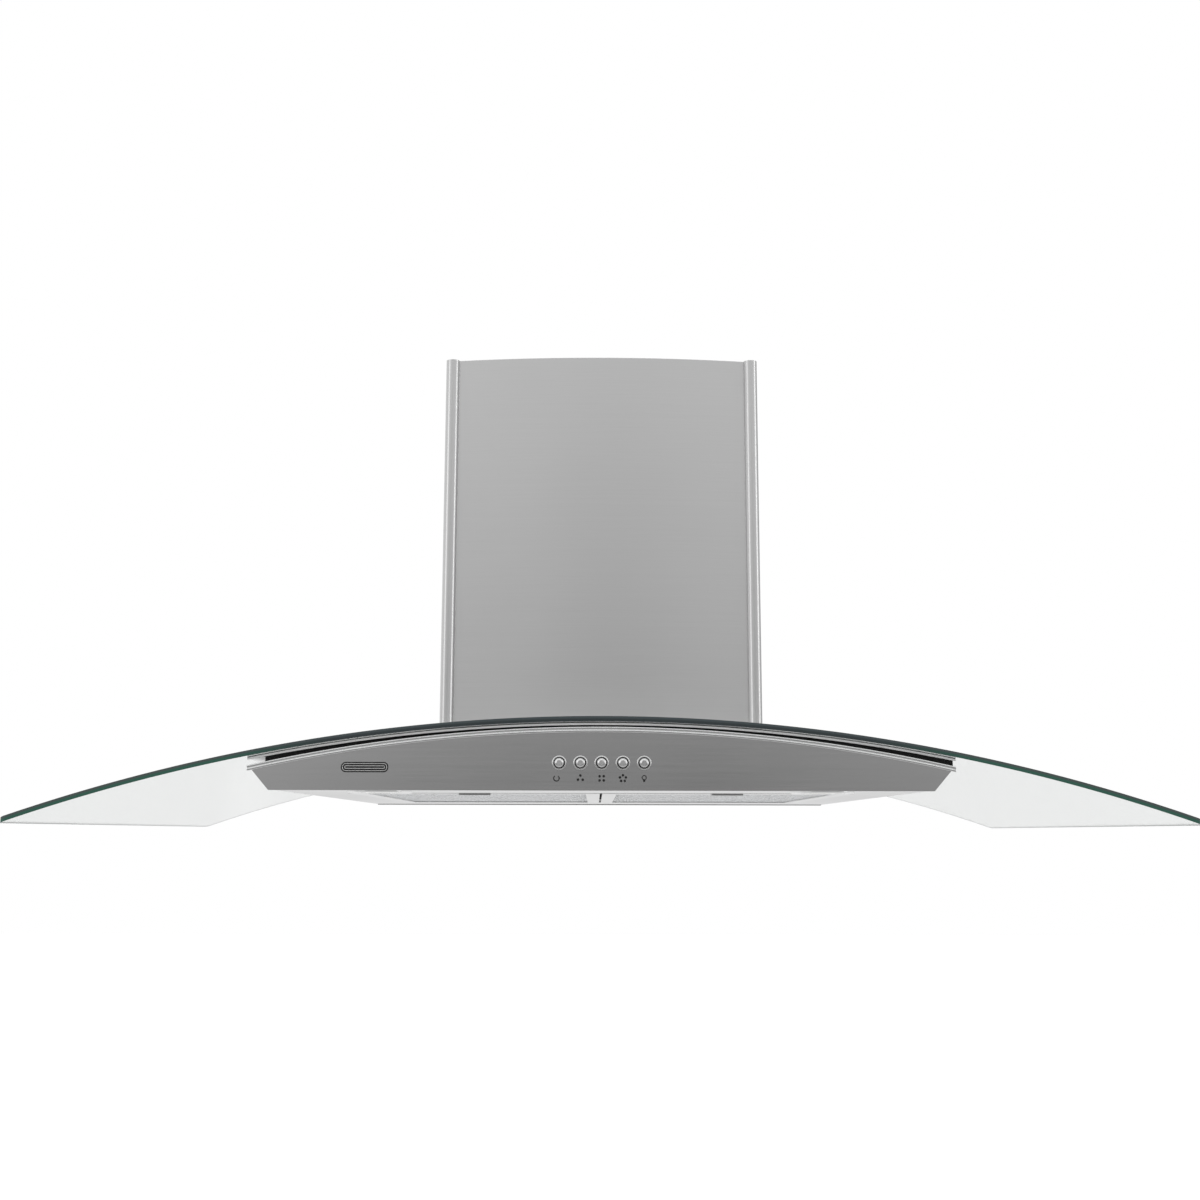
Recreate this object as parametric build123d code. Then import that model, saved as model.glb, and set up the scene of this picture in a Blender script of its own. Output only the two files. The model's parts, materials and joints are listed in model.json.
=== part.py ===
from build123d import *
import math
import os

# Island range hood: an arched glass canopy on a shallow steel body, hung from the ceiling by a telescopic
# frame inside a two-part chimney. Millimetres. X runs along the canopy, -Y is the control side, +Z is up,
# and the origin is the centre of the ceiling plate's top face.

os.makedirs("parts", exist_ok=True)

# ---- Driving dimensions --------------------------------------------------------------------------
# Canopy glass: a rectangular sheet bent to one radius about an axis along Y.
glass_width = 900.0
glass_depth = 600.0
glass_thickness = 4.0
glass_radius = 1360.0
glass_corner = 5.0
opening_corner = 5.0
opening_gap = 2.0

# Chimney: two nested covers with rolled corner beads and slightly bowed front and rear faces.
chimney_width = 274.0
chimney_rise = 333.0
chimney_bow = 10.6
bead_radius = 6.0
bead_proud = 3.0
bead_step = 5.4
cover_sheet = 0.8
cover_slide_gap = 1.7
ceiling_gap = 1.0
glass_air_gap = 0.3
bracket_sheet = 1.2
hanger_depth = 14.0
hanger_width = 18.0
hanger_spacing = 88.0
foot_overlap = 1.0
extension_rise = 24.0
seam_rise = 14.0
bracket_rise = 5.0
bracket_height = 12.0
bracket_inset = 2.0
bracket_setback = 4.0

# Telescopic hanging frame.
ceiling_plate_thickness = 3.0
ceiling_plate_gap = 0.6
ceiling_plate_corner = 6.0
ceiling_bolt_spacing = 180.0
ceiling_bolt_radius = 4.5
duct_hole_radius = 84.0
post_leg = 22.0
post_thickness = 2.0
post_side_gap = 4.6
post_slide_gap = 0.4
drop_travel = 200.0
post_end_gap = 10.0
post_slot_end = 14.0
slot_width = 5.8
slot_bolt_radius = 2.5
slot_bolt_pitch = 28.0
bolt_end = 10.0
bolt_shift = 2.0
bolt_head_radius = 4.75
bolt_head_height = 2.4
foot_thickness = 3.0

# Body under the glass.
body_top_width = 536.0
body_bottom_width = 504.0
body_setback = 10.0
body_sheet = 0.8
plate_sheet = 1.0
panel_height = 48.2
panel_radius_step = 130.0
panel_flange = 14.0
panel_lip = 9.0
bed_thickness = 0.5
bed_width = 12.0
hem_thickness = 0.5
hem_depth = 4.0
seal_gap = 1.4
seal_setback = 5.0
seal_width = 6.0
seal_end_gap_left = 12.0
seal_end_gap_right = 0.5
trim_height = 4.2
trim_proud = 0.7
trim_overhang = 0.5
trim_edge = 0.25
trim_groove_start = 1.9
trim_groove_width = 0.7
trim_groove_depth = 0.35

# Filter bay in the underside.
lamp_strip = 105.0
side_strip = 42.0
filter_gap = 1.5
filter_middle_gap = 2.0
filter_thickness = 9.0
filter_recess = 0.5
filter_border = 12.0
filter_front_border = 26.0
filter_wall = 0.9
mesh_layers = 3
mesh_sheet = 0.4
mesh_grip = 6.0
hinge_rod_radius = 1.5
hinge_fit = 0.06
hinge_inset = 6.0
hinge_rise = 4.0
flange_height = 11.0
mesh_fit = 0.5
latch_width = 34.0
latch_shoulder = 4.0
latch_tongue_width = 14.0
latch_plate_depth = 9.0
latch_plate_thickness = 2.0
latch_setback = 2.5
latch_travel = 6.0
latch_play = 0.3
latch_tip_gap = 0.3
latch_pad_drop = 1.2
latch_grooves = 3
latch_groove_width = 1.0
latch_groove_depth = 0.6
latch_groove_margin = 2.0

# Lamps in the underside strips.
lamp_spacing = 348.0
lamp_inset = 46.0
lamp_bezel_radius = 25.5
lamp_lens_radius = 17.5
lamp_can_radius = 21.5
lamp_can_height = 14.0
lamp_bezel_drop = 1.6
lamp_bezel_round = 1.0
lamp_recess = 0.6
lamp_lens_thickness = 2.0
lamp_wall = 1.5
lamp_fit = 0.3

# Controls.
button_count = 5
button_pitch = 16.1
button_height = 20.8
button_radius = 3.7
button_round = 2.3
button_proud = 3.6
button_travel = 2.5
bezel_radius = 5.5
bezel_hole_radius = 4.4
bezel_wall = 0.4
bezel_proud = 1.1
bezel_round = 0.55
stem_radius = 2.0
stem_clearance = 0.3
stem_reach = 5.0
stem_end_gap = 1.0
switch_gap = 4.5
switch_depth = 17.0
switch_height = 15.0
switch_margin = 9.0
switch_ear = 9.0
switch_ear_depth = 3.0

# Load-bearing rails inside the body.
rail_height = 20.0
rail_width = 26.0
rail_sheet = 1.5
rail_drop = 2.0
rail_end_gap = 1.0
rail_window_length = 34.0
rail_window_height = 12.0
rail_window_shift = 9.0
rail_slot_width = 10.0
rail_slot_length = 26.0
rail_slot_shift = 2.0
spacer_inset = 100.0
spacer_length = 24.0
end_flange = 12.0

# Blower.
case_sheet = 0.8
case_gap = 1.5
case_rise = 226.0
partition_drop = 30.0
impeller_radius = 70.0
impeller_inner_radius = 57.0
impeller_width = 86.0
blade_count = 36
blade_thickness = 0.9
blade_lean = 24.0
blade_arc_radius = 15.0
impeller_ring = 3.0
scroll_sheet = 1.2
scroll_start_gap = 7.0
scroll_case_gap = 5.0
scroll_side_gap = 4.0
scroll_centre_rise = 86.0
scroll_start = 60.0
scroll_turn = 290.0
scroll_steps = 16
inlet_radius = 60.0
shaft_radius = 4.0
shaft_fit = 0.05
motor_radius = 42.0
motor_length = 62.0
motor_start = 5.0
motor_edge = 5.0
groove_count = 3
groove_start = 11.2
groove_pitch = 8.7
groove_width = 4.0
groove_depth = 2.5
hub_radius = 11.0
hub_length = 26.0
hub_disc = 2.0
disc_reach = 9.1
shaft_overhang = 4.0
shaft_depth = 49.0
shaft_end_gap = 1.0
bracket_wall = 3.0
bracket_overlap = 8.0
bracket_arm = 12.0
bracket_arm_count = 3
bracket_opening = 27.7

# Outlet collar and backdraught damper.
collar_radius = 75.0
collar_sheet = 0.8
collar_height = 55.0
collar_flange = 12.0
damper_rise = 13.0
damper_pin_radius = 1.5
damper_barrel_radius = 3.0
damper_pin_offset = 4.0
damper_edge_gap = 0.8
damper_sheet = 0.8
damper_bar = 3.0
damper_rest = 6.0
damper_rest_gap = 0.4
damper_barrel_setback = 6.0

# Electrical box on the side of the blower's case, and its cables.
box_width = 84.0
box_depth = 23.0
box_height = 66.0
box_sheet = 1.0
box_rise = 16.0
capacitor_radius = 8.0
capacitor_length = 44.0
capacitor_round = 1.0
gland_radius = 8.5
gland_bore = 4.0
gland_length = 14.0
gland_wall = 1.5
gland_round = 2.0
gland_nut_height = 3.0
cable_hole_radius = 11.0
cable_radius = 2.0
cable_fit = 0.3
clip_width = 8.0
clip_wall = 3.0
clip_cover = 1.5
clip_run = 5
box_cable_shift = 1.0
box_cable_y = -18.0
terminal_count = 5
terminal_length = 50.0
terminal_depth = 12.0
terminal_height = 18.0
terminal_drop = 18.0
terminal_hole_radius = 3.0
terminal_slit = 0.8
terminal_slit_depth = 4.8
capacitor_start = -8.0
lid_screw_margin = 5.0
lid_screw_length = 6.0
strap_half = 14.0
strap_height = 12.0
seam_screw_y = 8.0

# Fasteners.
screw_radius = 1.9
screw_head_radius = 3.6
screw_head_height = 1.8
glass_screw_radius = 3.0
glass_cap_radius = 9.0
glass_cap_height = 4.0
glass_cap_round = 3.2
glass_hole_radius = 6.0
glass_screw_x = 190.0
glass_screw_inset = 80.0
washer_radius = 8.0
washer_thickness = 1.0
washer_fit = 0.3
nut_height = 4.0
thread_beyond_nut = 2.0

# ---- Derived levels and half sizes ---------------------------------------------------------------
chimney_top = -ceiling_gap
glass_top = chimney_top - chimney_rise
axis_z = glass_top - glass_radius
plate_top_radius = glass_radius - glass_thickness - bed_thickness
plate_bottom = glass_top - glass_thickness - bed_thickness - plate_sheet
panel_radius = glass_radius - panel_radius_step
panel_top = plate_bottom - hem_thickness - seal_gap
panel_axis_z = panel_top - panel_radius
body_bottom = panel_top - panel_height
half_depth = glass_depth / 2 - body_setback
pan_top = body_bottom + 2 * body_sheet
bay_half_width = body_bottom_width / 2 - side_strip
bay_half_depth = half_depth - lamp_strip
side_half = chimney_width / 2
bead_centre = side_half - bead_radius + bead_proud
face_edge = bead_centre + bead_radius - bead_step
cover_inner_half = side_half - 2 * cover_sheet - cover_slide_gap
post_outer = cover_inner_half - post_side_gap
ceiling_plate_half = face_edge - 2 * cover_sheet - cover_slide_gap - ceiling_plate_gap
lower_post_outer = post_outer - post_thickness - post_slide_gap
opening_half = lower_post_outer + opening_gap
rail_inner = lower_post_outer - post_leg - case_gap
case_half = rail_inner
rail_top = panel_top - (panel_radius - math.sqrt(panel_radius**2 - opening_half**2)) - rail_drop
foot_top = rail_top + foot_thickness
lower_post_top = -ceiling_plate_thickness - post_end_gap - slot_bolt_pitch
case_top = glass_top + case_rise
partition_z = case_top - partition_drop
fan_z = glass_top + scroll_centre_rise
scroll_half_width = impeller_width / 2 + scroll_side_gap
scroll_room = case_half - impeller_radius - scroll_sheet
scroll_growth = scroll_room - scroll_start_gap - scroll_case_gap
damper_z = case_top + damper_rise
filter_bottom = body_bottom + filter_recess
filter_top = filter_bottom + filter_thickness
filter_half_depth = bay_half_depth - filter_gap
hinge_y = filter_half_depth - hinge_inset
hinge_z = filter_bottom + hinge_rise
plate_reach = body_top_width / 2 + trim_overhang
slant = (body_top_width - body_bottom_width) / 2
slant_height = panel_height - (panel_radius - math.sqrt(panel_radius**2 - (body_top_width / 2) ** 2))
button_z = body_bottom + button_height
switch_half = (button_count - 1) / 2 * button_pitch + switch_margin
switch_front = body_sheet + switch_gap - half_depth
extension_low = glass_top + extension_rise
seam_z = glass_top + seam_rise
bracket_low = glass_top + bracket_rise
bolt_levels = (lower_post_top - bolt_end, lower_post_top - bolt_end - slot_bolt_pitch)
bolt_line = lower_post_outer - post_leg / 2 - bolt_shift
foot_middle = lower_post_outer - (post_leg + post_thickness) / 2
box_low = glass_top + box_rise
gland_x = case_half + box_depth / 2
gland_neck_radius = gland_bore + gland_wall
box_cable_x = gland_x + box_cable_shift
lid_screw_y = box_width / 2 - lid_screw_margin
lid_screw_z = box_low + box_height - lid_screw_margin

# The cable's corners: out of the switch block's end, into the right rail, along it and up into the box.
rail_middle = rail_top - rail_height / 2
cable_points = [
    Vector(switch_half, switch_front + 9, button_z),
    Vector(switch_half + 20, switch_front + 9, button_z),
    Vector(switch_half + 41, switch_front + 15, rail_middle - 4),
    Vector(rail_inner - 3, switch_front + 31, rail_middle - 1),
    Vector(rail_inner + 9, switch_front + 57, rail_middle),
    Vector(box_cable_x + 1, -180, rail_middle - 1),
    Vector(box_cable_x + 2, -125, rail_middle - 2),
    Vector(box_cable_x, -72, rail_middle - 1),
    Vector(box_cable_x - 0.5, -38, rail_middle + 5),
    Vector(box_cable_x, box_cable_y - 4, glass_top - 4),
    Vector(box_cable_x, box_cable_y, box_low),
]


# ---- Helpers -------------------------------------------------------------------------------------
def block(x0, x1, y0, y1, z0, z1):
    """A box between two opposite corners, given in either order."""
    centre = Pos((x0 + x1) / 2, (y0 + y1) / 2, (z0 + z1) / 2)
    return centre * Box(abs(x1 - x0), abs(y1 - y0), abs(z1 - z0))


def rod(start, direction, radius, length):
    """A cylinder that starts at a point and runs along a unit direction."""
    return extrude(Plane(origin=start, z_dir=direction) * Circle(radius), length)


def drum(radius, centre_z, y0, y1):
    """A cylinder about an axis along Y, for everything that follows the glass's bend."""
    return rod((0, min(y0, y1), centre_z), (0, 1, 0), radius, abs(y1 - y0))


def arched_sheet(top_radius, thickness, half_width, y0, y1):
    """A sheet bent about the glass's own axis."""
    ring = drum(top_radius, axis_z, y0, y1) - drum(top_radius - thickness, axis_z, y0, y1)
    return ring & block(-half_width, half_width, y0, y1, axis_z + top_radius / 2, glass_top + 1)


def prism_y(points, y0, y1):
    """A closed outline of (x, z) points, extruded from y0 to y1."""
    outline = Plane.XZ.offset(-max(y0, y1)) * make_face(Polyline(*points, close=True))
    return extrude(outline, abs(y1 - y0))


def sheet_height(radius, x):
    """Height at x of a face bent about the glass's axis."""
    return axis_z + math.sqrt(radius**2 - x**2)


def joined(solids):
    """Several separate solids as one node."""
    return Compound(children=list(solids))


def to_corner(shape, sx, sy):
    """A shape built at +X +Y, mirrored to another corner."""
    if sx < 0:
        shape = mirror(shape, about=Plane.YZ)
    if sy < 0:
        shape = mirror(shape, about=Plane.XZ)
    return shape


def at_corners(shape):
    """Four copies of a shape, one in each corner."""
    return joined(to_corner(shape, sx, sy) for sx in (1, -1) for sy in (1, -1))


def screw(head, direction, length):
    """A pan-head screw: its head seats at a point and its shank runs along a direction."""
    back = tuple(-c for c in direction)
    return rod(head, direction, screw_radius, length) + rod(head, back, screw_head_radius, screw_head_height)


# ---- Glass canopy --------------------------------------------------------------------------------
glass_screw_y = glass_depth / 2 - glass_screw_inset
glass_screw_points = [(sx * glass_screw_x, sy * glass_screw_y) for sx in (-1, 1) for sy in (-1, 1)]
glass_screw_seat = sheet_height(glass_radius, glass_screw_x - washer_radius) + washer_thickness
glass_nut_top = sheet_height(plate_top_radius - plate_sheet, glass_screw_x + glass_hole_radius)


def glass_canopy():
    half_width, half = glass_width / 2, glass_depth / 2
    sheet = arched_sheet(glass_radius, glass_thickness, half_width, -half, half)
    sheet = fillet(sheet.edges().filter_by(Axis.Z), glass_corner)
    opening = Rectangle(2 * opening_half, 2 * opening_half)
    opening = fillet(opening.vertices(), opening_corner)
    low = sheet_height(glass_radius - glass_thickness, half_width)
    sheet -= extrude(Pos(0, 0, low) * opening, glass_radius)
    for x, y in glass_screw_points:
        sheet -= rod((x, y, low), (0, 0, 1), glass_hole_radius, glass_radius)
    return sheet


def glass_bed_strips():
    """Thin foam tape that the glass lies on, along the body's front and rear edges."""
    top = glass_radius - glass_thickness
    spans = [(sy * half_depth, sy * (half_depth - bed_width)) for sy in (-1, 1)]
    return joined(arched_sheet(top, bed_thickness, plate_reach, min(span), max(span)) for span in spans)


def glass_washers():
    """Rubber bushes: a sleeve in each of the glass's holes, and a shoulder that lies on the glass."""
    bushes = []
    for x, y in glass_screw_points:
        foot = (x, y, glass_nut_top)
        length = glass_screw_seat - glass_nut_top
        shoulder = rod(foot, (0, 0, 1), washer_radius, length)
        shoulder -= drum(glass_radius, axis_z, y - 2 * washer_radius, y + 2 * washer_radius)
        sleeve = rod(foot, (0, 0, 1), glass_hole_radius - washer_fit, length)
        sleeve -= drum(plate_top_radius, axis_z, y - 2 * washer_radius, y + 2 * washer_radius)
        bushes.append(shoulder + sleeve - rod(foot, (0, 0, 1), glass_screw_radius, length))
    return joined(bushes)


def glass_screws():
    """Domed cap screws that clamp the glass to the top plate, each with its nut."""
    screws = []
    for x, y in glass_screw_points:
        cap = rod((x, y, glass_screw_seat), (0, 0, 1), glass_cap_radius, glass_cap_height)
        cap = fillet(cap.edges().sort_by(Axis.Z)[-1], glass_cap_round)
        foot = glass_nut_top - nut_height - thread_beyond_nut
        shank = rod((x, y, foot), (0, 0, 1), glass_screw_radius, glass_screw_seat - foot)
        hexagon = Pos(x, y, glass_nut_top - nut_height) * RegularPolygon(glass_hole_radius, 6)
        nut = extrude(hexagon, nut_height)
        screws.append(cap + shank + nut)
    return joined(screws)


# ---- Body shell ----------------------------------------------------------------------------------
def end_profile(inset):
    """The body's slanted front outline without its top arc, as (x, z) points, moved inwards by inset."""
    low = body_bottom_width / 2 - inset * math.hypot(slant, slant_height) / slant_height
    high = low + slant / slant_height * panel_height
    return [(-low, body_bottom), (low, body_bottom), (high, panel_top), (-high, panel_top)]


def body_prism(inset, y0, y1):
    """The body's solid outline, with slanted ends under the panel's own arc."""
    return prism_y(end_profile(inset), y0, y1) & drum(panel_radius - inset, panel_axis_z, y0, y1)


def fascia(sign):
    """A front or rear fascia: a face with a flange along its arched top and a lip along its foot."""
    outer = sign * half_depth
    face = body_prism(0, outer, sign * (half_depth - body_sheet))
    flange = body_prism(0, outer, sign * (half_depth - panel_flange))
    flange -= drum(panel_radius - body_sheet, panel_axis_z, outer, sign * (half_depth - panel_flange))
    lip_edge = sign * (half_depth - panel_lip)
    lip = body_prism(0, outer, lip_edge)
    lip &= block(-body_top_width, body_top_width, outer, lip_edge, body_bottom, body_bottom + body_sheet)
    return face + flange + lip


def button_x(i):
    return (i - (button_count - 1) / 2) * button_pitch


def control_panel():
    panel = fascia(-1)
    for i in range(button_count):
        start = (button_x(i), -half_depth - body_sheet, button_z)
        panel -= rod(start, (0, 1, 0), bezel_hole_radius + bezel_wall, 3 * body_sheet)
    return panel


def end_panel(side):
    """A slanted end between the two fascias, with a flange turned in along its top."""
    flanged = half_depth - panel_flange
    plain = half_depth - body_sheet
    panel = body_prism(0, -flanged, flanged) - body_prism(body_sheet, -flanged, flanged)
    wall = body_prism(0, -plain, plain) - body_prism(body_sheet, -plain, plain)
    panel += wall & drum(panel_radius - body_sheet, panel_axis_z, -plain, plain)
    near = side * (body_bottom_width / 2 - end_flange)
    return panel & block(near, side * body_top_width, -plain, plain, body_bottom + body_sheet, glass_top)


def panel_ring(depth, thickness, y0, y1):
    """A ring that follows the fascias' arch, from depth below it down by thickness."""
    outer = panel_radius - depth
    return drum(outer, panel_axis_z, y0, y1) - drum(outer - thickness, panel_axis_z, y0, y1)


def panel_trim(sign):
    """A polished moulding along a fascia's top edge, with a groove between its two ribs."""
    y0, y1 = sign * half_depth, sign * (half_depth + trim_proud)
    band = panel_ring(0, trim_height, y0, y1)
    band -= panel_ring(trim_groove_start, trim_groove_width, y1 - sign * trim_groove_depth, y1)
    band &= block(-plate_reach, plate_reach, y0, y1, body_bottom, glass_top)
    front = band.faces().filter_by(Axis.Y).sort_by(Axis.Y)
    ribs = front[:2] if sign < 0 else front[-2:]
    long_edges = [e for rib in ribs for e in rib.edges() if e.length > body_bottom_width]
    return chamfer(long_edges, trim_edge)


def body_seals():
    """Black foam between each fascia's flange and the arched top plate."""
    seals = []
    for sign in (-1, 1):
        y0, y1 = sign * (half_depth - seal_setback), sign * (half_depth - seal_setback - seal_width)
        gap = drum(plate_top_radius - plate_sheet, axis_z, y0, y1) - drum(panel_radius, panel_axis_z, y0, y1)
        left = body_top_width / 2 - seal_end_gap_left
        right = body_top_width / 2 - seal_end_gap_right
        seals.append(gap & block(-left, right, y0, y1, body_bottom, glass_top))
    return joined(seals)


def top_plate():
    """The arched plate that carries the glass, hemmed at its front and rear and open over the blower."""
    plate = arched_sheet(plate_top_radius, plate_sheet, plate_reach, -half_depth, half_depth)
    for sy in (-1, 1):
        edge, inner = sy * half_depth, sy * (half_depth - hem_depth)
        plate += arched_sheet(plate_top_radius - plate_sheet, hem_thickness, plate_reach, edge, inner)
    low = sheet_height(plate_top_radius - plate_sheet, plate_reach)
    plate -= block(-opening_half, opening_half, -opening_half, opening_half, low, glass_top)
    for x, y in glass_screw_points:
        plate -= rod((x, y, low), (0, 0, 1), glass_screw_radius, glass_radius)
    return plate


def bottom_pan():
    """The underside: lamp holes in its front strip and an open bay for the filters, with upturned edges."""
    half_width = body_bottom_width / 2 - body_sheet
    reach = half_depth - body_sheet
    low = pan_top - body_sheet
    flange_half, flange_reach = bay_half_width + body_sheet, bay_half_depth + body_sheet
    pan = block(-half_width, half_width, -reach, reach, low, pan_top)
    pan += block(-flange_half, flange_half, -flange_reach, flange_reach, low, low + flange_height)
    pan -= block(-bay_half_width, bay_half_width, -bay_half_depth, bay_half_depth, low, low + flange_height)
    for side in (-1, 1):
        x, y = lamp_centre(side)
        pan -= rod((x, y, low), (0, 0, 1), lamp_can_radius + lamp_fit, body_sheet)
        pan -= rod((side * bay_half_width, hinge_y, hinge_z), (side, 0, 0), hinge_rod_radius, body_sheet)
    return pan


def frame_rail(side):
    """A channel from fascia to fascia, open outwards, that carries the posts and the blower."""
    x0, x1 = rail_inner, rail_inner + rail_width
    reach = half_depth - panel_flange - rail_end_gap
    low = rail_top - rail_height
    rail = block(x0, x1, -reach, reach, low, rail_top)
    inner = reach - rail_sheet
    rail -= block(x0 + rail_sheet, x1, -inner, inner, low + rail_sheet, rail_top - rail_sheet)
    for sy in (-1, 1):
        rail += block(x0, x1, sy * reach, sy * (half_depth - body_sheet), low, low + rail_sheet)
        screw_foot = (foot_middle, sy * foot_middle, rail_top - rail_sheet)
        rail -= rod(screw_foot, (0, 0, 1), screw_radius, rail_sheet)
    if side < 0:
        return mirror(rail, about=Plane.YZ)
    window_y, half_length = cable_points[3].Y + rail_window_shift, rail_window_length / 2
    middle, half_height = (low + rail_top) / 2, rail_window_height / 2
    rail -= block(
        x0, x0 + rail_sheet, window_y - half_length, window_y + half_length,
        middle - half_height, middle + half_height,
    )
    slot_y, half_length = cable_points[8].Y + rail_slot_shift, rail_slot_length / 2
    rail -= block(
        box_cable_x - rail_slot_width / 2, box_cable_x + rail_slot_width / 2,
        slot_y - half_length, slot_y + half_length, rail_top - rail_sheet, rail_top,
    )
    return rail


def plate_spacers():
    """Blocks on the rails that carry the arched top plate."""
    x0, x1 = rail_inner, rail_inner + rail_width
    y0 = half_depth - spacer_inset - spacer_length / 2
    y1 = y0 + spacer_length
    spacer = block(x0, x1, y0, y1, rail_top, glass_top) & drum(plate_top_radius - plate_sheet, axis_z, y0, y1)
    return at_corners(spacer)


# ---- Filters -------------------------------------------------------------------------------------
def filter_span(side):
    """X limits of one filter, the lower first."""
    return sorted((side * filter_middle_gap / 2, side * (bay_half_width - filter_gap)))


def filter_frame(side):
    """A hollow-section frame: a groove for the mesh, a bore for the hinge rod and a pocket for the latch."""
    x0, x1 = filter_span(side)
    front, back = -filter_half_depth, filter_half_depth
    frame = block(x0, x1, front, back, filter_bottom, filter_top)
    ix0, ix1 = x0 + filter_border, x1 - filter_border
    iy0, iy1 = front + filter_front_border, back - filter_border
    frame -= block(ix0, ix1, iy0, iy1, filter_bottom, filter_top)
    frame -= block(
        ix0 - mesh_grip, ix1 + mesh_grip, iy0 - mesh_grip, iy1,
        filter_bottom + filter_wall, filter_top - filter_wall,
    )
    frame -= rod((x0, hinge_y, hinge_z), (1, 0, 0), hinge_rod_radius + hinge_fit, x1 - x0)
    return frame - latch_pocket((x0 + x1) / 2, front)


def latch_pocket(middle, front):
    """The hollow in a filter's front bar that its latch slides in, open to the bar's front and foot."""
    half = latch_width / 2
    y0 = front + latch_setback - latch_play
    y1 = front + latch_setback + latch_plate_depth + latch_travel + latch_play
    plate_low = filter_bottom + filter_wall
    plate_high = plate_low + latch_plate_thickness + 2 * latch_play
    hollow = block(middle - half - latch_play, middle + half + latch_play, y0, y1, plate_low, plate_high)
    pad = half - latch_shoulder + latch_play
    slot = block(middle - pad, middle + pad, y0, y1, filter_bottom, plate_low)
    tongue = latch_tongue_width / 2 + latch_play
    mouth = block(middle - tongue, middle + tongue, front, y0, plate_low, plate_high)
    return hollow + slot + mouth


def filter_latch(side):
    """A sliding latch: a plate in the bar, a ribbed finger pad through the foot and a tongue in front."""
    x0, x1 = filter_span(side)
    middle = (x0 + x1) / 2
    half, pad = latch_width / 2, latch_width / 2 - latch_shoulder
    y0 = latch_setback - filter_half_depth
    y1 = y0 + latch_plate_depth
    plate_low = filter_bottom + filter_wall + latch_play
    pad_low = filter_bottom - latch_pad_drop
    latch = block(middle - half, middle + half, y0, y1, plate_low, plate_low + latch_plate_thickness)
    latch += block(middle - pad, middle + pad, y0, y1, pad_low, plate_low)
    tongue = latch_tongue_width / 2
    latch += block(
        middle - tongue, middle + tongue, latch_tip_gap - filter_half_depth, y0,
        plate_low, plate_low + latch_plate_thickness,
    )
    pitch = latch_plate_depth / (latch_grooves + 1)
    groove = pad - latch_groove_margin
    for k in range(latch_grooves):
        y = y0 + pitch * (k + 1)
        latch -= block(
            middle - groove, middle + groove, y - latch_groove_width / 2, y + latch_groove_width / 2,
            pad_low, pad_low + latch_groove_depth,
        )
    return latch


def filter_mesh(side):
    """Layers of expanded mesh, each a thin sheet held in the frame's groove."""
    x0, x1 = filter_span(side)
    reach = mesh_grip - mesh_fit
    low, high = filter_bottom + filter_wall, filter_top - filter_wall
    pitch = (high - low - mesh_sheet) / (mesh_layers - 1)
    return joined(
        block(
            x0 + filter_border - reach, x1 - filter_border + reach,
            filter_front_border - reach - filter_half_depth, filter_half_depth - filter_border,
            low + k * pitch, low + k * pitch + mesh_sheet,
        )
        for k in range(mesh_layers)
    )


def filter_hinge_rod():
    """One rod across the bay that both filters swing on."""
    reach = bay_half_width + body_sheet
    return rod((-reach, hinge_y, hinge_z), (1, 0, 0), hinge_rod_radius, 2 * reach)


# ---- Lamps ---------------------------------------------------------------------------------------
def lamp_centre(side):
    return side * lamp_spacing / 2, lamp_inset - half_depth


def lamp_housing(side):
    """A can above the pan with a rounded bezel below it and a recess for the lens."""
    x, y = lamp_centre(side)
    low = pan_top - body_sheet
    bezel = rod((x, y, low - lamp_bezel_drop), (0, 0, 1), lamp_bezel_radius, lamp_bezel_drop)
    bezel = fillet(bezel.edges().sort_by(Axis.Z)[0], lamp_bezel_round)
    housing = bezel + rod((x, y, low), (0, 0, 1), lamp_can_radius, lamp_can_height)
    recess = lamp_recess + lamp_lens_thickness
    housing -= rod((x, y, low - lamp_bezel_drop), (0, 0, 1), lamp_lens_radius, recess)
    cavity_low = low - lamp_bezel_drop + recess
    cavity_high = low + lamp_can_height - lamp_wall
    cavity_radius = lamp_lens_radius - lamp_wall
    return housing - rod((x, y, cavity_low), (0, 0, 1), cavity_radius, cavity_high - cavity_low)


def lamp_lens(side):
    """A frosted lens pressed into its housing."""
    x, y = lamp_centre(side)
    low = pan_top - body_sheet - lamp_bezel_drop + lamp_recess
    return rod((x, y, low), (0, 0, 1), lamp_lens_radius, lamp_lens_thickness)


# ---- Controls ------------------------------------------------------------------------------------
def button(i):
    """A domed push button on a stem that slides in the switch block."""
    start = (button_x(i), -half_depth - button_proud, button_z)
    head = rod(start, (0, 1, 0), button_radius, button_proud + body_sheet)
    head = fillet(head.edges().sort_by(Axis.Y)[0], button_round)
    return head + rod(start, (0, 1, 0), stem_radius, button_proud + body_sheet + switch_gap + stem_reach)


def button_bezels():
    """Polished rings that line the buttons' holes."""
    rings = []
    for i in range(button_count):
        start = (button_x(i), -half_depth - bezel_proud, button_z)
        ring = rod(start, (0, 1, 0), bezel_radius, bezel_proud)
        ring = fillet(ring.edges().sort_by(Axis.Y)[0], bezel_round)
        ring += rod(start, (0, 1, 0), bezel_hole_radius + bezel_wall, bezel_proud + body_sheet)
        rings.append(ring - rod(start, (0, 1, 0), bezel_hole_radius, bezel_proud + body_sheet))
    return joined(rings)


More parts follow.
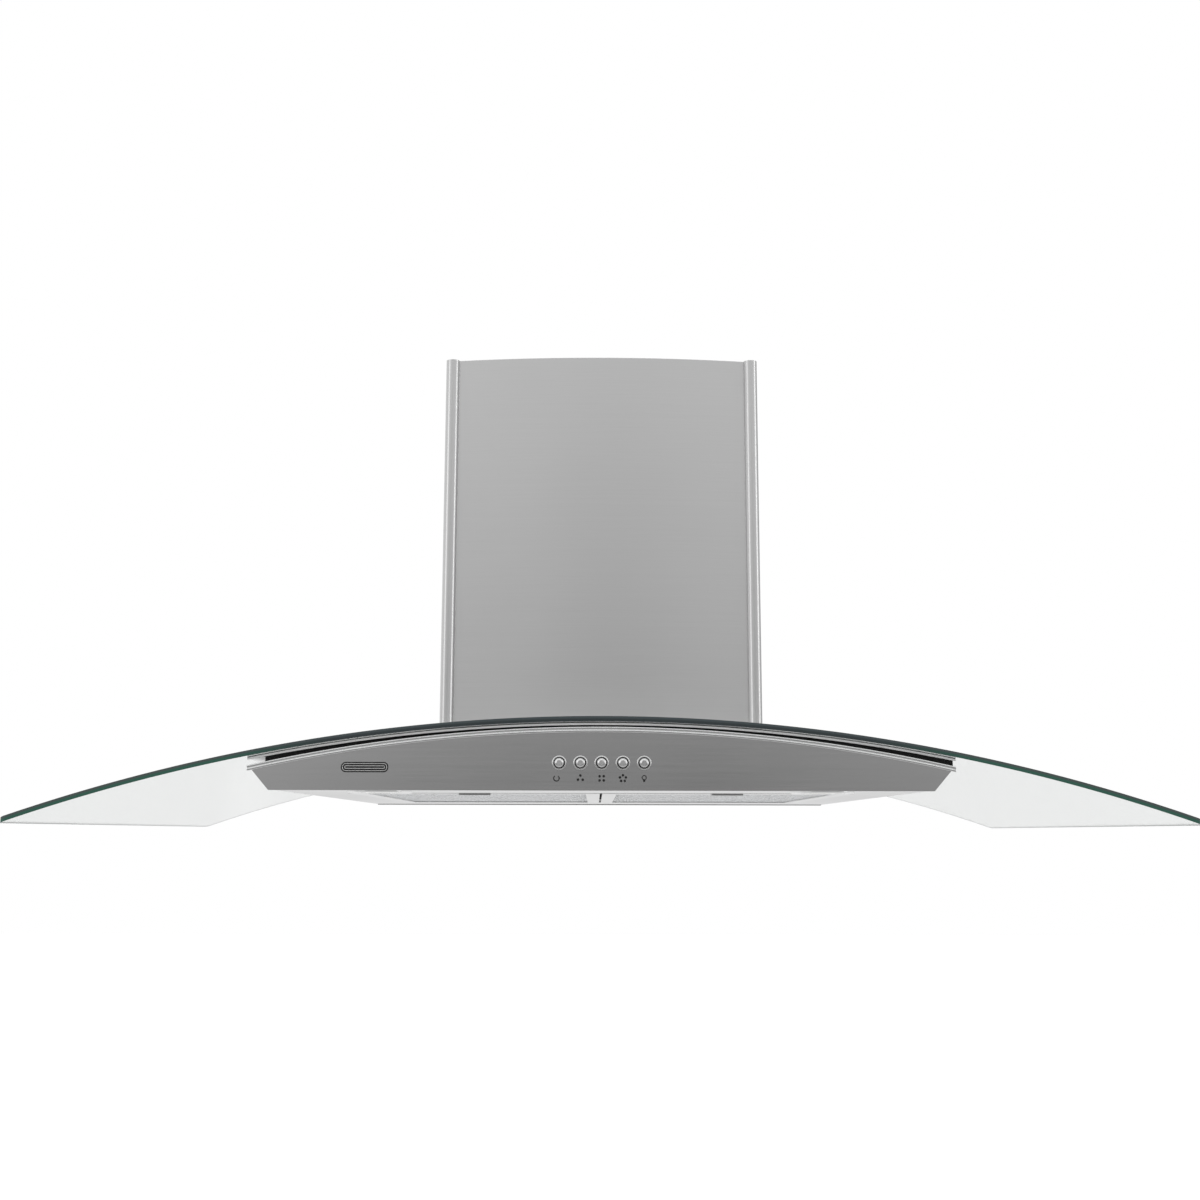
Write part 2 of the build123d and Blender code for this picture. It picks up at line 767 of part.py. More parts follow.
def switch_block():
    """The bank of switches, with a bore for each button's stem and an ear at each end fixed to the panel."""
    low, high = button_z - switch_height / 2, button_z + switch_height / 2
    body = block(-switch_half, switch_half, switch_front, switch_front + switch_depth, low, high)
    ear_front, ear_back = body_sheet - half_depth, switch_front + switch_ear_depth
    for sx in (-1, 1):
        body += block(sx * switch_half, sx * (switch_half + switch_ear), ear_front, ear_back, low, high)
    bore = stem_reach + button_travel + stem_end_gap
    for i in range(button_count):
        body -= rod((button_x(i), switch_front, button_z), (0, 1, 0), stem_radius + stem_clearance, bore)
    return body


# ---- Electrical box ------------------------------------------------------------------------------
def box_shell(inset, height_inset):
    """A block the size of the electrical box, moved inwards by inset."""
    return block(
        case_half + inset, case_half + box_depth, -box_width / 2 + inset, box_width / 2 - inset,
        box_low + height_inset, box_low + box_height - height_inset,
    )


def junction_box():
    """A steel box on the side of the blower's case, open towards its lid."""
    box = box_shell(0, 0) - box_shell(box_sheet, box_sheet)
    box -= rod((gland_x, 0, box_low + box_height - box_sheet), (0, 0, 1), gland_neck_radius, box_sheet)
    return box - rod((box_cable_x, box_cable_y, box_low), (0, 0, 1), cable_radius + cable_fit, box_sheet)


def junction_box_lid():
    x = case_half + box_depth
    half = box_width / 2
    lid = block(x, x + box_sheet, -half, half, box_low, box_low + box_height)
    for sy in (-1, 1):
        lid -= rod((x, sy * lid_screw_y, lid_screw_z), (1, 0, 0), screw_radius, box_sheet)
    return lid


def terminal_block():
    """A row of screw terminals on the box's back."""
    x, z = case_half + box_sheet, box_low + box_height - terminal_drop
    half = terminal_length / 2
    base = block(x, x + terminal_depth, -half, half, z - terminal_height / 2, z + terminal_height / 2)
    pitch = terminal_length / terminal_count
    for k in range(terminal_count):
        y = -half + pitch * (k + 0.5)
        base -= rod((x + terminal_depth / 2, y, z), (1, 0, 0), terminal_hole_radius, terminal_depth / 2)
    for k in range(1, terminal_count):
        y = -half + pitch * k
        base -= block(
            x + terminal_depth - terminal_slit_depth, x + terminal_depth,
            y - terminal_slit / 2, y + terminal_slit / 2,
            z - terminal_height / 2, z + terminal_height / 2,
        )
    return base


def capacitor():
    """The motor's run capacitor, held under the terminals."""
    x = case_half + box_sheet + capacitor_radius
    z = box_low + box_sheet + capacitor_radius
    can = rod((x, capacitor_start, z), (0, 1, 0), capacitor_radius, capacitor_length)
    return fillet(can.edges().filter_by(GeomType.CIRCLE), capacitor_round)


def cable_gland():
    """The supply cable's gland, empty, because the supply cable is fitted on site."""
    top = box_low + box_height
    cap = rod((gland_x, 0, top), (0, 0, 1), gland_radius, gland_length)
    cap = fillet(cap.edges().sort_by(Axis.Z)[-1], gland_round)
    neck = rod((gland_x, 0, top - box_sheet), (0, 0, 1), gland_neck_radius, box_sheet)
    foot = top - box_sheet - gland_nut_height
    nut = extrude(Pos(gland_x, 0, foot) * RegularPolygon(gland_radius, 6), gland_nut_height)
    bore = rod((gland_x, 0, foot), (0, 0, 1), gland_bore, top + gland_length - foot)
    return cap + neck + nut - bore


def switch_cable():
    """The cable from the switches, along the right rail's channel and up into the electrical box."""
    radii = []
    for before, here, after in zip(cable_points, cable_points[1:], cable_points[2:]):
        turn = math.radians((here - before).get_angle(after - here))
        radii.append(0.45 * min((here - before).length, (after - here).length) / math.tan(turn / 2))
    path = FilletPolyline(*cable_points, radius=radii)
    tube = sweep(Plane(origin=path @ 0, z_dir=path % 0) * Circle(cable_radius), path=path)
    full = math.pi * cable_radius**2 * path.length
    print("switch cable: radii", [round(r, 1) for r in radii], "length", round(path.length, 1))
    print("switch cable: volume over section times length", round(tube.volume / full, 4))
    return tube


def cable_clip():
    """A saddle in the rail that holds the cable."""
    here, after = cable_points[clip_run], cable_points[clip_run + 1]
    along = (after - here).normalized()
    middle = (here + after) * 0.5
    low = rail_top - rail_height + rail_sheet
    half = cable_radius + clip_wall
    saddle = block(
        middle.X - half, middle.X + half, middle.Y - clip_width / 2, middle.Y + clip_width / 2,
        low, middle.Z + cable_radius + clip_cover,
    )
    start = middle - along * clip_width
    return saddle - rod(tuple(start), tuple(along), cable_radius + cable_fit, 2 * clip_width)


# ---- Blower --------------------------------------------------------------------------------------
def blower_case():
    """A steel box round the fan, open at the bottom, with the outlet hole in its top."""
    low = rail_top - rail_height
    wall = case_half - case_sheet
    case = block(-case_half, case_half, -case_half, case_half, low, case_top)
    case -= block(-wall, wall, -wall, wall, low, case_top - case_sheet)
    return case - rod((0, 0, case_top - case_sheet), (0, 0, 1), collar_radius - collar_sheet, case_sheet)


def scroll_face(extra, throat):
    """The scroll's outline across the fan's axis: a spiral that grows evenly, and a straight throat."""
    points = []
    for k in range(scroll_steps + 1):
        share = k / scroll_steps
        angle = math.radians(scroll_start - scroll_turn * share)
        radius = impeller_radius + scroll_start_gap + scroll_growth * share + extra
        points.append((radius * math.cos(angle), radius * math.sin(angle)))
    first, last = points[0], points[-1]
    corners = [last, (last[0], throat), (first[0], throat), first]
    return make_face([Spline(*points), Polyline(*corners)])


def across_fan(x):
    """The plane across the fan's axis at x, with its own X along +Y."""
    return Plane(origin=(x, 0, fan_z), x_dir=(0, 1, 0), z_dir=(1, 0, 0))


def blower_scroll():
    """The volute: a spiral band between two side plates with inlet holes, hung from a plate in the case."""
    inner_half = scroll_half_width - scroll_sheet
    throat = partition_z - fan_z
    wall = case_half - case_sheet
    outer = extrude(across_fan(-scroll_half_width) * scroll_face(scroll_sheet, throat), 2 * scroll_half_width)
    inner = extrude(across_fan(-inner_half) * scroll_face(0, throat), 2 * inner_half)
    inlet = rod((-scroll_half_width, 0, fan_z), (1, 0, 0), inlet_radius, 2 * scroll_half_width)
    return outer + block(-wall, wall, -wall, wall, partition_z - scroll_sheet, partition_z) - inner - inlet


def impeller():
    """A double-inlet wheel of forward-curved blades on a middle disc, with end rings and a hub."""
    half = impeller_width / 2
    chord = impeller_radius - impeller_inner_radius
    lean = math.radians(blade_lean)
    middle = impeller_inner_radius + chord / 2
    arc = Circle(blade_arc_radius) - Circle(blade_arc_radius - blade_thickness)
    arc = Pos(middle - blade_arc_radius * math.sin(lean), -blade_arc_radius * math.cos(lean)) * arc
    band = Circle(impeller_radius - blade_thickness) - Circle(impeller_inner_radius)
    blade = arc & band & (Pos(middle, 0) * Rectangle(chord + blade_arc_radius / 2, blade_arc_radius))
    wheel = rod((-hub_disc / 2, 0, fan_z), (1, 0, 0), impeller_inner_radius + disc_reach, hub_disc)
    for x in (-half, half - impeller_ring):
        ring = rod((x, 0, fan_z), (1, 0, 0), impeller_radius, impeller_ring)
        wheel += ring - rod((x, 0, fan_z), (1, 0, 0), middle, impeller_ring)
    blades = [
        extrude(across_fan(-half) * (Rot(0, 0, k * 360 / blade_count) * blade), impeller_width)
        for k in range(blade_count)
    ]
    wheel += blades
    wheel += rod((-hub_length, 0, fan_z), (1, 0, 0), hub_radius, hub_length)
    return wheel - rod((-hub_length, 0, fan_z), (1, 0, 0), shaft_radius, hub_length + hub_disc)


def motor_shaft():
    start = -hub_length - shaft_overhang
    return rod((start, 0, fan_z), (1, 0, 0), shaft_radius, motor_start + shaft_depth - start)


def motor():
    """A drum with rounded ends, three cooling grooves and a bore for the shaft."""
    can = rod((motor_start, 0, fan_z), (1, 0, 0), motor_radius, motor_length)
    can = fillet(can.edges().filter_by(GeomType.CIRCLE), motor_edge)
    for k in range(groove_count):
        start = motor_start + groove_start + groove_pitch * k
        groove = rod((start, 0, fan_z), (1, 0, 0), motor_radius, groove_width)
        can -= groove - rod((start, 0, fan_z), (1, 0, 0), motor_radius - groove_depth, groove_width)
    bore_depth = shaft_depth + shaft_end_gap
    return can - rod((motor_start, 0, fan_z), (1, 0, 0), shaft_radius + shaft_fit, bore_depth)


def motor_bracket():
    """A cup round the motor's outer end, with three arms to the scroll's side plate."""
    x0, x1 = scroll_half_width, motor_start + motor_length
    outer = motor_radius + bracket_wall
    cup = rod((x0, 0, fan_z), (1, 0, 0), outer, x1 - x0 + bracket_wall)
    cup -= rod((x0, 0, fan_z), (1, 0, 0), motor_radius, x1 - x0)
    cup -= rod((x0, 0, fan_z), (1, 0, 0), bracket_opening, x1 - x0 + bracket_wall)
    reach = inlet_radius + bracket_overlap
    for k in range(bracket_arm_count):
        arm = Rectangle(reach - outer + bracket_wall, bracket_arm)
        arm = Pos((outer + reach - bracket_wall) / 2, 0) * arm
        cup += extrude(across_fan(x0) * (Rot(0, 0, 90 + 360 / bracket_arm_count * k) * arm), bracket_wall)
    return cup - rod((x0, 0, fan_z), (1, 0, 0), motor_radius, x1 - x0)


def outlet_collar():
    """A round spigot for the duct, with a flange on the case and rests for the damper's flaps."""
    inner = collar_radius - collar_sheet
    collar = rod((0, 0, case_top), (0, 0, 1), collar_radius + collar_flange, collar_sheet)
    collar += rod((0, 0, case_top), (0, 0, 1), collar_radius, collar_height)
    collar -= rod((0, 0, case_top), (0, 0, 1), inner, collar_height)
    reach = collar_radius - collar_sheet / 2
    bar_top = damper_z - damper_barrel_radius - damper_rest_gap
    collar += block(-damper_bar / 2, damper_bar / 2, -reach, reach, case_top + collar_sheet, bar_top)
    rest_top = damper_z - damper_sheet / 2 - damper_rest_gap
    for sx in (-1, 1):
        collar += block(
            sx * (inner - damper_rest), sx * reach, -damper_rest, damper_rest,
            rest_top - 2 * damper_sheet, rest_top,
        )
    return collar


def damper_pins():
    """Two pins across the collar, fixed in its wall."""
    reach = math.sqrt((collar_radius - collar_sheet) ** 2 - damper_pin_offset**2)
    return joined(
        rod((sx * damper_pin_offset, -reach, damper_z), (0, 1, 0), damper_pin_radius, 2 * reach)
        & rod((0, 0, case_top), (0, 0, 1), collar_radius - collar_sheet, collar_height)
        for sx in (-1, 1)
    )


def damper_flap(side):
    """A half-round flap with a barrel on its pin. It lies shut under its own weight."""
    radius = collar_radius - collar_sheet - damper_edge_gap
    start = side * damper_pin_offset
    flap = rod((0, 0, damper_z - damper_sheet / 2), (0, 0, 1), radius, damper_sheet)
    flap &= block(start, side * radius, -radius, radius, damper_z - damper_sheet, damper_z + damper_sheet)
    reach = radius - damper_barrel_setback
    flap += rod((start, -reach, damper_z), (0, 1, 0), damper_barrel_radius, 2 * reach)
    return flap - rod((start, -radius, damper_z), (0, 1, 0), damper_pin_radius + hinge_fit, 2 * radius)


# ---- Chimney -------------------------------------------------------------------------------------
def chimney_section(inset):
    """A cover's outline, moved inwards by inset: flat sides, bowed front and rear, a bead at each corner."""
    edge = bead_centre - bead_radius
    bow_radius = (edge**2 + chimney_bow**2) / (2 * chimney_bow)
    offset = bow_radius - face_edge - chimney_bow
    outline = Rectangle(2 * (side_half - inset), 4 * side_half)
    for sy in (-1, 1):
        outline = outline & (Pos(0, sy * offset) * Circle(bow_radius - inset))
    for sx in (-1, 1):
        for sy in (-1, 1):
            outline = outline + Pos(sx * bead_centre, sy * bead_centre) * Circle(bead_radius - inset)
    return outline


def cover(inset, low, sign):
    """Half of a chimney cover, split at the middle of its sides."""
    ring = chimney_section(inset) - chimney_section(inset + cover_sheet)
    shell = extrude(Pos(0, 0, low) * ring, chimney_top - low)
    reach = 2 * side_half
    return shell & block(-reach, reach, 0, sign * reach, low, chimney_top)


def chimney_cover(sign):
    """Half of the outer cover, whose foot follows the glass."""
    low = sheet_height(glass_radius, side_half + bead_proud) - foot_overlap
    reach = 2 * side_half
    shell = cover(0, low, sign) - drum(glass_radius + glass_air_gap, axis_z, -reach, reach)
    for sx in (-1, 1):
        shell -= rod((sx * side_half, sign * seam_screw_y, seam_z), (-sx, 0, 0), screw_radius, cover_sheet)
    return shell


def extension_cover(sign):
    """Half of the inner cover, hung from the ceiling plate, which shows as the hood is lowered."""
    return cover(cover_sheet + cover_slide_gap, extension_low, sign)


def cover_hangers():
    """Angle tabs that hold the inner cover to the ceiling plate."""
    top = -ceiling_plate_thickness
    y0, y1 = (hanger_spacing - hanger_width) / 2, (hanger_spacing + hanger_width) / 2
    outer = cover_inner_half
    tab = block(outer - bracket_sheet, outer, y0, y1, top - hanger_depth, top)
    tab += block(outer - hanger_depth, outer, y0, y1, top - bracket_sheet, top)
    return at_corners(tab)


def seam_strap(side):
    """A strap inside the outer cover that joins its two halves."""
    inner = side_half - cover_sheet
    low, high = seam_z - strap_height / 2, seam_z + strap_height / 2
    strap = block(side * inner, side * (inner - cover_sheet), -strap_half, strap_half, low, high)
    for sy in (-1, 1):
        strap -= rod((side * inner, sy * seam_screw_y, seam_z), (-side, 0, 0), screw_radius, cover_sheet)
    return strap


def cover_brackets():
    """Channels from the lower posts to the outer cover, below the inner cover, and the seam straps."""
    inner, outer = lower_post_outer, side_half - cover_sheet
    y0, y1 = lower_post_outer - post_leg + bracket_inset, lower_post_outer - bracket_setback
    bracket = block(inner, outer, y0, y1, bracket_low, bracket_low + bracket_height)
    bracket -= block(
        inner + bracket_sheet, outer - bracket_sheet, y0, y1,
        bracket_low + bracket_sheet, bracket_low + bracket_height,
    )
    brackets = [to_corner(bracket, sx, sy) for sx in (1, -1) for sy in (1, -1)]
    return joined(brackets + [seam_strap(-1), seam_strap(1)])


# ---- Hanging frame -------------------------------------------------------------------------------
def angle_post(outer, low, high):
    """One angle post in the corner at +X +Y, with its outer faces at outer."""
    back, inner = outer - post_leg, outer - post_thickness
    return block(back, outer, back, outer, low, high) - block(back, inner, back, inner, low, high)


def upper_posts():
    """Posts hung from the ceiling plate, each with a long slot for the clamp bolts."""
    slot_low, slot_high = bolt_levels[1] - drop_travel, bolt_levels[0]
    half = slot_width / 2
    inner = post_outer - post_thickness
    post = angle_post(post_outer, slot_low - post_slot_end, -ceiling_plate_thickness)
    post -= block(inner, post_outer, bolt_line - half, bolt_line + half, slot_low, slot_high)
    for z in (slot_low, slot_high):
        post -= rod((inner, bolt_line, z), (1, 0, 0), half, post_thickness)
    return at_corners(post)


def lower_posts():
    """Posts that stand on the rails and slide inside the upper ones, each on a welded foot."""
    outer = lower_post_outer
    post = angle_post(outer, rail_top, lower_post_top)
    post += block(outer - post_leg, outer, outer - post_leg, outer, rail_top, foot_top)
    for z in bolt_levels:
        post -= rod((outer - post_thickness, bolt_line, z), (1, 0, 0), slot_bolt_radius, post_thickness)
    post -= rod((foot_middle, foot_middle, rail_top), (0, 0, 1), screw_radius, foot_thickness)
    return at_corners(post)


def frame_bolts():
    """Clamp bolts through the posts' slots, with their nuts."""
    bolts = []
    for z in bolt_levels:
        nut_face = lower_post_outer - post_thickness
        head_face = post_outer + post_slide_gap
        start = nut_face - nut_height
        bolt = rod((start, bolt_line, z), (1, 0, 0), slot_bolt_radius, head_face - start)
        bolt += rod((head_face, bolt_line, z), (1, 0, 0), bolt_head_radius, bolt_head_height)
        nut_plane = Plane(origin=(start, bolt_line, z), x_dir=(0, 1, 0), z_dir=(1, 0, 0))
        bolt += extrude(nut_plane * RegularPolygon(bolt_head_radius, 6), nut_height)
        bolts += [to_corner(bolt, sx, sy) for sx in (-1, 1) for sy in (-1, 1)]
    return joined(bolts)


def ceiling_plate():
    """The square plate screwed to the ceiling, open for the duct and the supply cable."""
    half = ceiling_plate_half
    low = -ceiling_plate_thickness
    plate = block(-half, half, -half, half, low, 0)
    plate = fillet(plate.edges().filter_by(Axis.Z), ceiling_plate_corner)
    plate -= rod((0, 0, low), (0, 0, 1), duct_hole_radius, ceiling_plate_thickness)
    plate -= rod((gland_x, 0, low), (0, 0, 1), cable_hole_radius, ceiling_plate_thickness)
    for sx in (-1, 1):
        for sy in (-1, 1):
            point = (sx * ceiling_bolt_spacing / 2, sy * ceiling_bolt_spacing / 2, low)
            plate -= rod(point, (0, 0, 1), ceiling_bolt_radius, ceiling_plate_thickness)
    return plate


def small_screws():
    """The screws of the posts' feet, the outer cover's seams and the electrical box's lid."""
    foot_screw = screw((foot_middle, foot_middle, foot_top), (0, 0, -1), foot_thickness + rail_sheet)
    screws = [to_corner(foot_screw, sx, sy) for sx in (-1, 1) for sy in (-1, 1)]
    screws += [
        screw((sx * side_half, sy * seam_screw_y, seam_z), (-sx, 0, 0), 2 * cover_sheet)
        for sx in (-1, 1) for sy in (-1, 1)
    ]
    lid_face = case_half + box_depth + box_sheet
    for sy in (-1, 1):
        screws.append(screw((lid_face, sy * lid_screw_y, lid_screw_z), (-1, 0, 0), lid_screw_length))
    return joined(screws)


# ---- All the nodes -------------------------------------------------------------------------------
nodes = {
    "glass_canopy": glass_canopy(),
    "glass_bed_strips": glass_bed_strips(),
    "glass_washers": glass_washers(),
    "glass_screws": glass_screws(),
    "top_plate": top_plate(),
    "control_panel": control_panel(),
    "rear_panel": fascia(1),
    "panel_trim_front": panel_trim(-1),
    "panel_trim_rear": panel_trim(1),
    "body_seals": body_seals(),
    "bottom_pan": bottom_pan(),
    "frame_rails": joined([frame_rail(-1), frame_rail(1)]),
    "plate_spacers": plate_spacers(),
    "filter_hinge_rod": filter_hinge_rod(),
    "lamp_lenses": joined([lamp_lens(-1), lamp_lens(1)]),
    "button_bezels": button_bezels(),
    "switch_block": switch_block(),
    "junction_box": junction_box(),
    "junction_box_lid": junction_box_lid(),
    "terminal_block": terminal_block(),
    "capacitor": capacitor(),
    "cable_gland": cable_gland(),
    "switch_cable": switch_cable(),
    "cable_clip": cable_clip(),
    "blower_case": blower_case(),
    "blower_scroll": blower_scroll(),
    "impeller": impeller(),
    "motor_shaft": motor_shaft(),
    "motor": motor(),
    "motor_bracket": motor_bracket(),
    "outlet_collar": outlet_collar(),
    "damper_pins": damper_pins(),
    "chimney_front": chimney_cover(-1),
    "chimney_rear": chimney_cover(1),
    "extension_front": extension_cover(-1),
    "extension_rear": extension_cover(1),
    "cover_hangers": cover_hangers(),
    "cover_brackets": cover_brackets(),
    "upper_posts": upper_posts(),
    "lower_posts": lower_posts(),
    "ceiling_plate": ceiling_plate(),
    "frame_bolts": frame_bolts(),
    "small_screws": small_screws(),
}
for side_name, side in (("left", -1), ("right", 1)):
    nodes["end_panel_" + side_name] = end_panel(side)
    nodes["lamp_housing_" + side_name] = lamp_housing(side)
    nodes["filter_frame_" + side_name] = filter_frame(side)
    nodes["filter_mesh_" + side_name] = filter_mesh(side)
    nodes["filter_latch_" + side_name] = filter_latch(side)
    nodes["damper_flap_" + side_name] = damper_flap(side)
for index, name in enumerate(("off", "low", "medium", "high", "light")):
    nodes["button_" + name] = button(index)

for name, shape in nodes.items():
    export_step(shape, f"parts/{name}.step")
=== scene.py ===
"""Looks for the island range hood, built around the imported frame. Metres, +Z up, the controls face -Y."""

import json
import math

import bmesh
import bpy
from mathutils import Euler, Matrix, Vector


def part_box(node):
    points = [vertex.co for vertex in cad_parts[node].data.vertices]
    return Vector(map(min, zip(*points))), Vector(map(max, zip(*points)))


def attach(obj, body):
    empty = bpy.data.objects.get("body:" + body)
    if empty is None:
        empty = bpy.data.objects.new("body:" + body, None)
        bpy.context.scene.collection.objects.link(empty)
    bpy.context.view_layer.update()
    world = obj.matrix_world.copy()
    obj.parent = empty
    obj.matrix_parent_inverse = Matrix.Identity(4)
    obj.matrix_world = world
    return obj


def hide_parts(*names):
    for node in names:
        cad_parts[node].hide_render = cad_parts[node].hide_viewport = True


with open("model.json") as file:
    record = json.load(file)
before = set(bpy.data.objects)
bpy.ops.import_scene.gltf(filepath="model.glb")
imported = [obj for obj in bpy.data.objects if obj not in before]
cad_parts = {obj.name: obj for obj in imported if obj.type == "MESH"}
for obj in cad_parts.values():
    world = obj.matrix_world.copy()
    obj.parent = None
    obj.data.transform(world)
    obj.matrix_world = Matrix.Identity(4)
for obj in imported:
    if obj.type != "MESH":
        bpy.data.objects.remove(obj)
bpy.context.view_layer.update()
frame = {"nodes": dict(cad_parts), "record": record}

MM = 0.001
NODES = frame["nodes"]
GLASS_LOW, GLASS_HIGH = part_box("glass_canopy")
PANEL_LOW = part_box("control_panel")[0]
TRIM_LOW, TRIM_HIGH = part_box("panel_trim_front")
GLASS_RADIUS = 1360.0 * MM
GLASS_THICKNESS = 4.0 * MM
GLASS_AXIS = GLASS_HIGH.z - GLASS_RADIUS
TRIM_RADIUS = 1230.0 * MM
TRIM_HEIGHT = 4.2 * MM


# ---- Camera --------------------------------------------------------------------------------------
# Distances are in metres, angles in degrees and the lens in millimetres.
CAMERA_DISTANCE = 1.1107
CAMERA_DROP = 0.0875
CAMERA_SIDE = -0.0046
CAMERA_PITCH = 9.446
CAMERA_YAW = -0.157
CAMERA_ROLL = 0.112
CAMERA_LENS = 44.10
CAMERA_SENSOR = 36.0
CAMERA_SHIFT = -0.0093
CAMERA_REACH = 60.0


def link_object(name, data):
    thing = bpy.data.objects.new(name, data)
    bpy.context.scene.collection.objects.link(thing)
    return thing


def make_camera():
    """In front of the hood and a little below the glass, looking slightly up."""
    camera = link_object("camera", bpy.data.cameras.new("camera"))
    camera.data.sensor_width = CAMERA_SENSOR
    camera.data.lens = CAMERA_LENS
    camera.data.shift_y = CAMERA_SHIFT
    camera.data.clip_end = CAMERA_REACH
    camera.location = (CAMERA_SIDE, GLASS_LOW.y - CAMERA_DISTANCE, GLASS_HIGH.z - CAMERA_DROP)
    turn = Euler((math.radians(90 + CAMERA_PITCH), 0, math.radians(CAMERA_YAW))).to_matrix()
    roll = Matrix.Rotation(math.radians(CAMERA_ROLL), 3, "Z")
    camera.rotation_euler = (turn @ roll).to_euler()
    bpy.context.scene.camera = camera


# ---- Node helpers --------------------------------------------------------------------------------
def add(tree, kind, inputs=None, **attributes):
    """A node with its attributes set, and its inputs given as values or as other nodes' sockets."""
    node = tree.nodes.new(kind)
    for key, value in attributes.items():
        setattr(node, key, value)
    for key, value in (inputs or {}).items():
        if isinstance(value, bpy.types.NodeSocket):
            tree.links.new(value, node.inputs[key])
        else:
            node.inputs[key].default_value = value
    return node


def math_node(tree, operation, first, second=0.0):
    return add(tree, "ShaderNodeMath", {0: first, 1: second}, operation=operation).outputs[0]


def total(tree, first, second):
    return math_node(tree, "ADD", first, second)


def less(tree, first, second):
    return math_node(tree, "SUBTRACT", first, second)


def product(tree, first, second):
    return math_node(tree, "MULTIPLY", first, second)


def size_of(tree, value):
    return math_node(tree, "ABSOLUTE", value)


def hypotenuse(tree, first, second):
    squares = total(tree, product(tree, first, first), product(tree, second, second))
    return math_node(tree, "SQRT", squares)


def span(tree, value, low, high, to_low=0.0, to_high=1.0):
    """value mapped smoothly from low..high to to_low..to_high, and held beyond them."""
    inputs = {"Value": value, "From Min": low, "From Max": high, "To Min": to_low, "To Max": to_high}
    return add(tree, "ShaderNodeMapRange", inputs, interpolation_type="SMOOTHSTEP").outputs["Result"]


def fall(tree, value, low, high):
    """1 below low, 0 above high, and smooth between them."""
    return span(tree, value, low, high, 1.0, 0.0)


def blend_colors(tree, factor, first, second):
    return add(tree, "ShaderNodeMix", {0: factor, 6: first, 7: second}, data_type="RGBA").outputs[2]


def part_coordinates(tree):
    return add(tree, "ShaderNodeTexCoord").outputs["Object"]


def components(tree, vector):
    parts = add(tree, "ShaderNodeSeparateXYZ", {"Vector": vector}).outputs
    return parts["X"], parts["Y"], parts["Z"]


def noise(tree, scale, detail=2.0, roughness=0.5, stretch=(1, 1, 1)):
    """Noise over the part's own coordinates; stretch multiplies the frequency along each axis."""
    inputs = {"Vector": part_coordinates(tree), "Scale": stretch}
    mapped = add(tree, "ShaderNodeMapping", inputs).outputs[0]
    inputs = {"Vector": mapped, "Scale": scale, "Detail": detail, "Roughness": roughness}
    return add(tree, "ShaderNodeTexNoise", inputs).outputs["Fac"]


def grey(level, warmth=0.0):
    return (level * (1 + warmth), level, level * (1 - warmth), 1.0)


def new_material(name, **sockets):
    """A material with one Principled shader, whose plain values are set on its own sockets."""
    material = bpy.data.materials.new(name)
    material.use_nodes = True
    tree = material.node_tree
    bsdf = tree.nodes["Principled BSDF"]
    for key, value in sockets.items():
        bsdf.inputs[key.replace("_", " ")].default_value = value
    return material, tree, bsdf


def connect(tree, bsdf, **sources):
    """Links the sources to the shader's sockets of the same names."""
    for key, source in sources.items():
        tree.links.new(source, bsdf.inputs[key.replace("_", " ")])


def soft_corners(tree, radius):
    """The normal as it would be if sharp edges were rounded by radius."""
    return add(tree, "ShaderNodeBevel", {"Radius": radius}, samples=4).outputs[0]


def bump(tree, height, strength, distance, **inputs):
    inputs = {"Strength": strength, "Distance": distance, "Height": height, **inputs}
    return add(tree, "ShaderNodeBump", inputs).outputs[0]


def edge_mask(tree, radius):
    """1 along the sharp edges of the metal, within about radius, and 0 on its flats."""
    hard = add(tree, "ShaderNodeNewGeometry").outputs["Normal"]
    inputs = {0: soft_corners(tree, radius), 1: hard}
    likeness = add(tree, "ShaderNodeVectorMath", inputs, operation="DOT_PRODUCT").outputs["Value"]
    return span(tree, likeness, 0.999, 0.93)


# ---- Materials -----------------------------------------------------------------------------------
EDGE_WEAR = 0.25
POLISH_SCUFF = 0.06
LENS_RING_PITCH = 2.6 * MM
CLEAR_GLASS = ((0.905, 0.93, 0.92, 1.0), (0.925, 0.95, 0.94, 1.0))
# Painted shade on the glass's ground edge over the body: slate above, painted darker towards its foot.
SHADED_SLATE_EDGE = ((0.045, 0.055, 0.060, 1.0), (0.016, 0.021, 0.024, 1.0))
GREEN_EDGE = ((0.050, 0.062, 0.060, 1.0), (0.014, 0.085, 0.055, 1.0))
GROUND_SPECKS = (0.09, 0.12, 0.12, 1.0)


def brushed_steel(name, level, roughness, grain, anisotropy=0.7, quarter_turn=0.25):
    """Brushed steel: grain is the streaks' frequency along each axis, low along the brushing."""
    sockets = {"Anisotropic": anisotropy, "Anisotropic_Rotation": quarter_turn}
    material, tree, bsdf = new_material(name, Metallic=1.0, **sockets)
    fine = noise(tree, 1.0, 3.0, 0.6, grain)
    coarse = noise(tree, 1.0, 2.0, 0.5, [0.12 * g for g in grain])
    smear = noise(tree, 9.0, 3.0, 0.55)
    streak = total(tree, product(tree, fine, 0.75), product(tree, coarse, 0.25))
    tone = span(tree, streak, 0.3, 0.7)
    edges = edge_mask(tree, 0.7 * MM)
    base = blend_colors(tree, tone, grey(level * 0.975), grey(level * 1.02))
    base = blend_colors(tree, product(tree, edges, EDGE_WEAR), base, grey(min(1.0, level * 1.35)))
    rough = span(tree, streak, 0.3, 0.7, roughness - 0.02, roughness + 0.02)
    rough = total(tree, rough, span(tree, smear, 0.4, 0.7, -0.006, 0.012))
    rough = less(tree, rough, product(tree, edges, 0.08))
    normal = bump(tree, streak, 0.05, 0.01 * MM, Normal=soft_corners(tree, 0.35 * MM))
    tangent = add(tree, "ShaderNodeTangent", direction_type="RADIAL", axis="Z").outputs[0]
    connect(tree, bsdf, Base_Color=base, Roughness=rough, Normal=normal, Tangent=tangent)
    return material


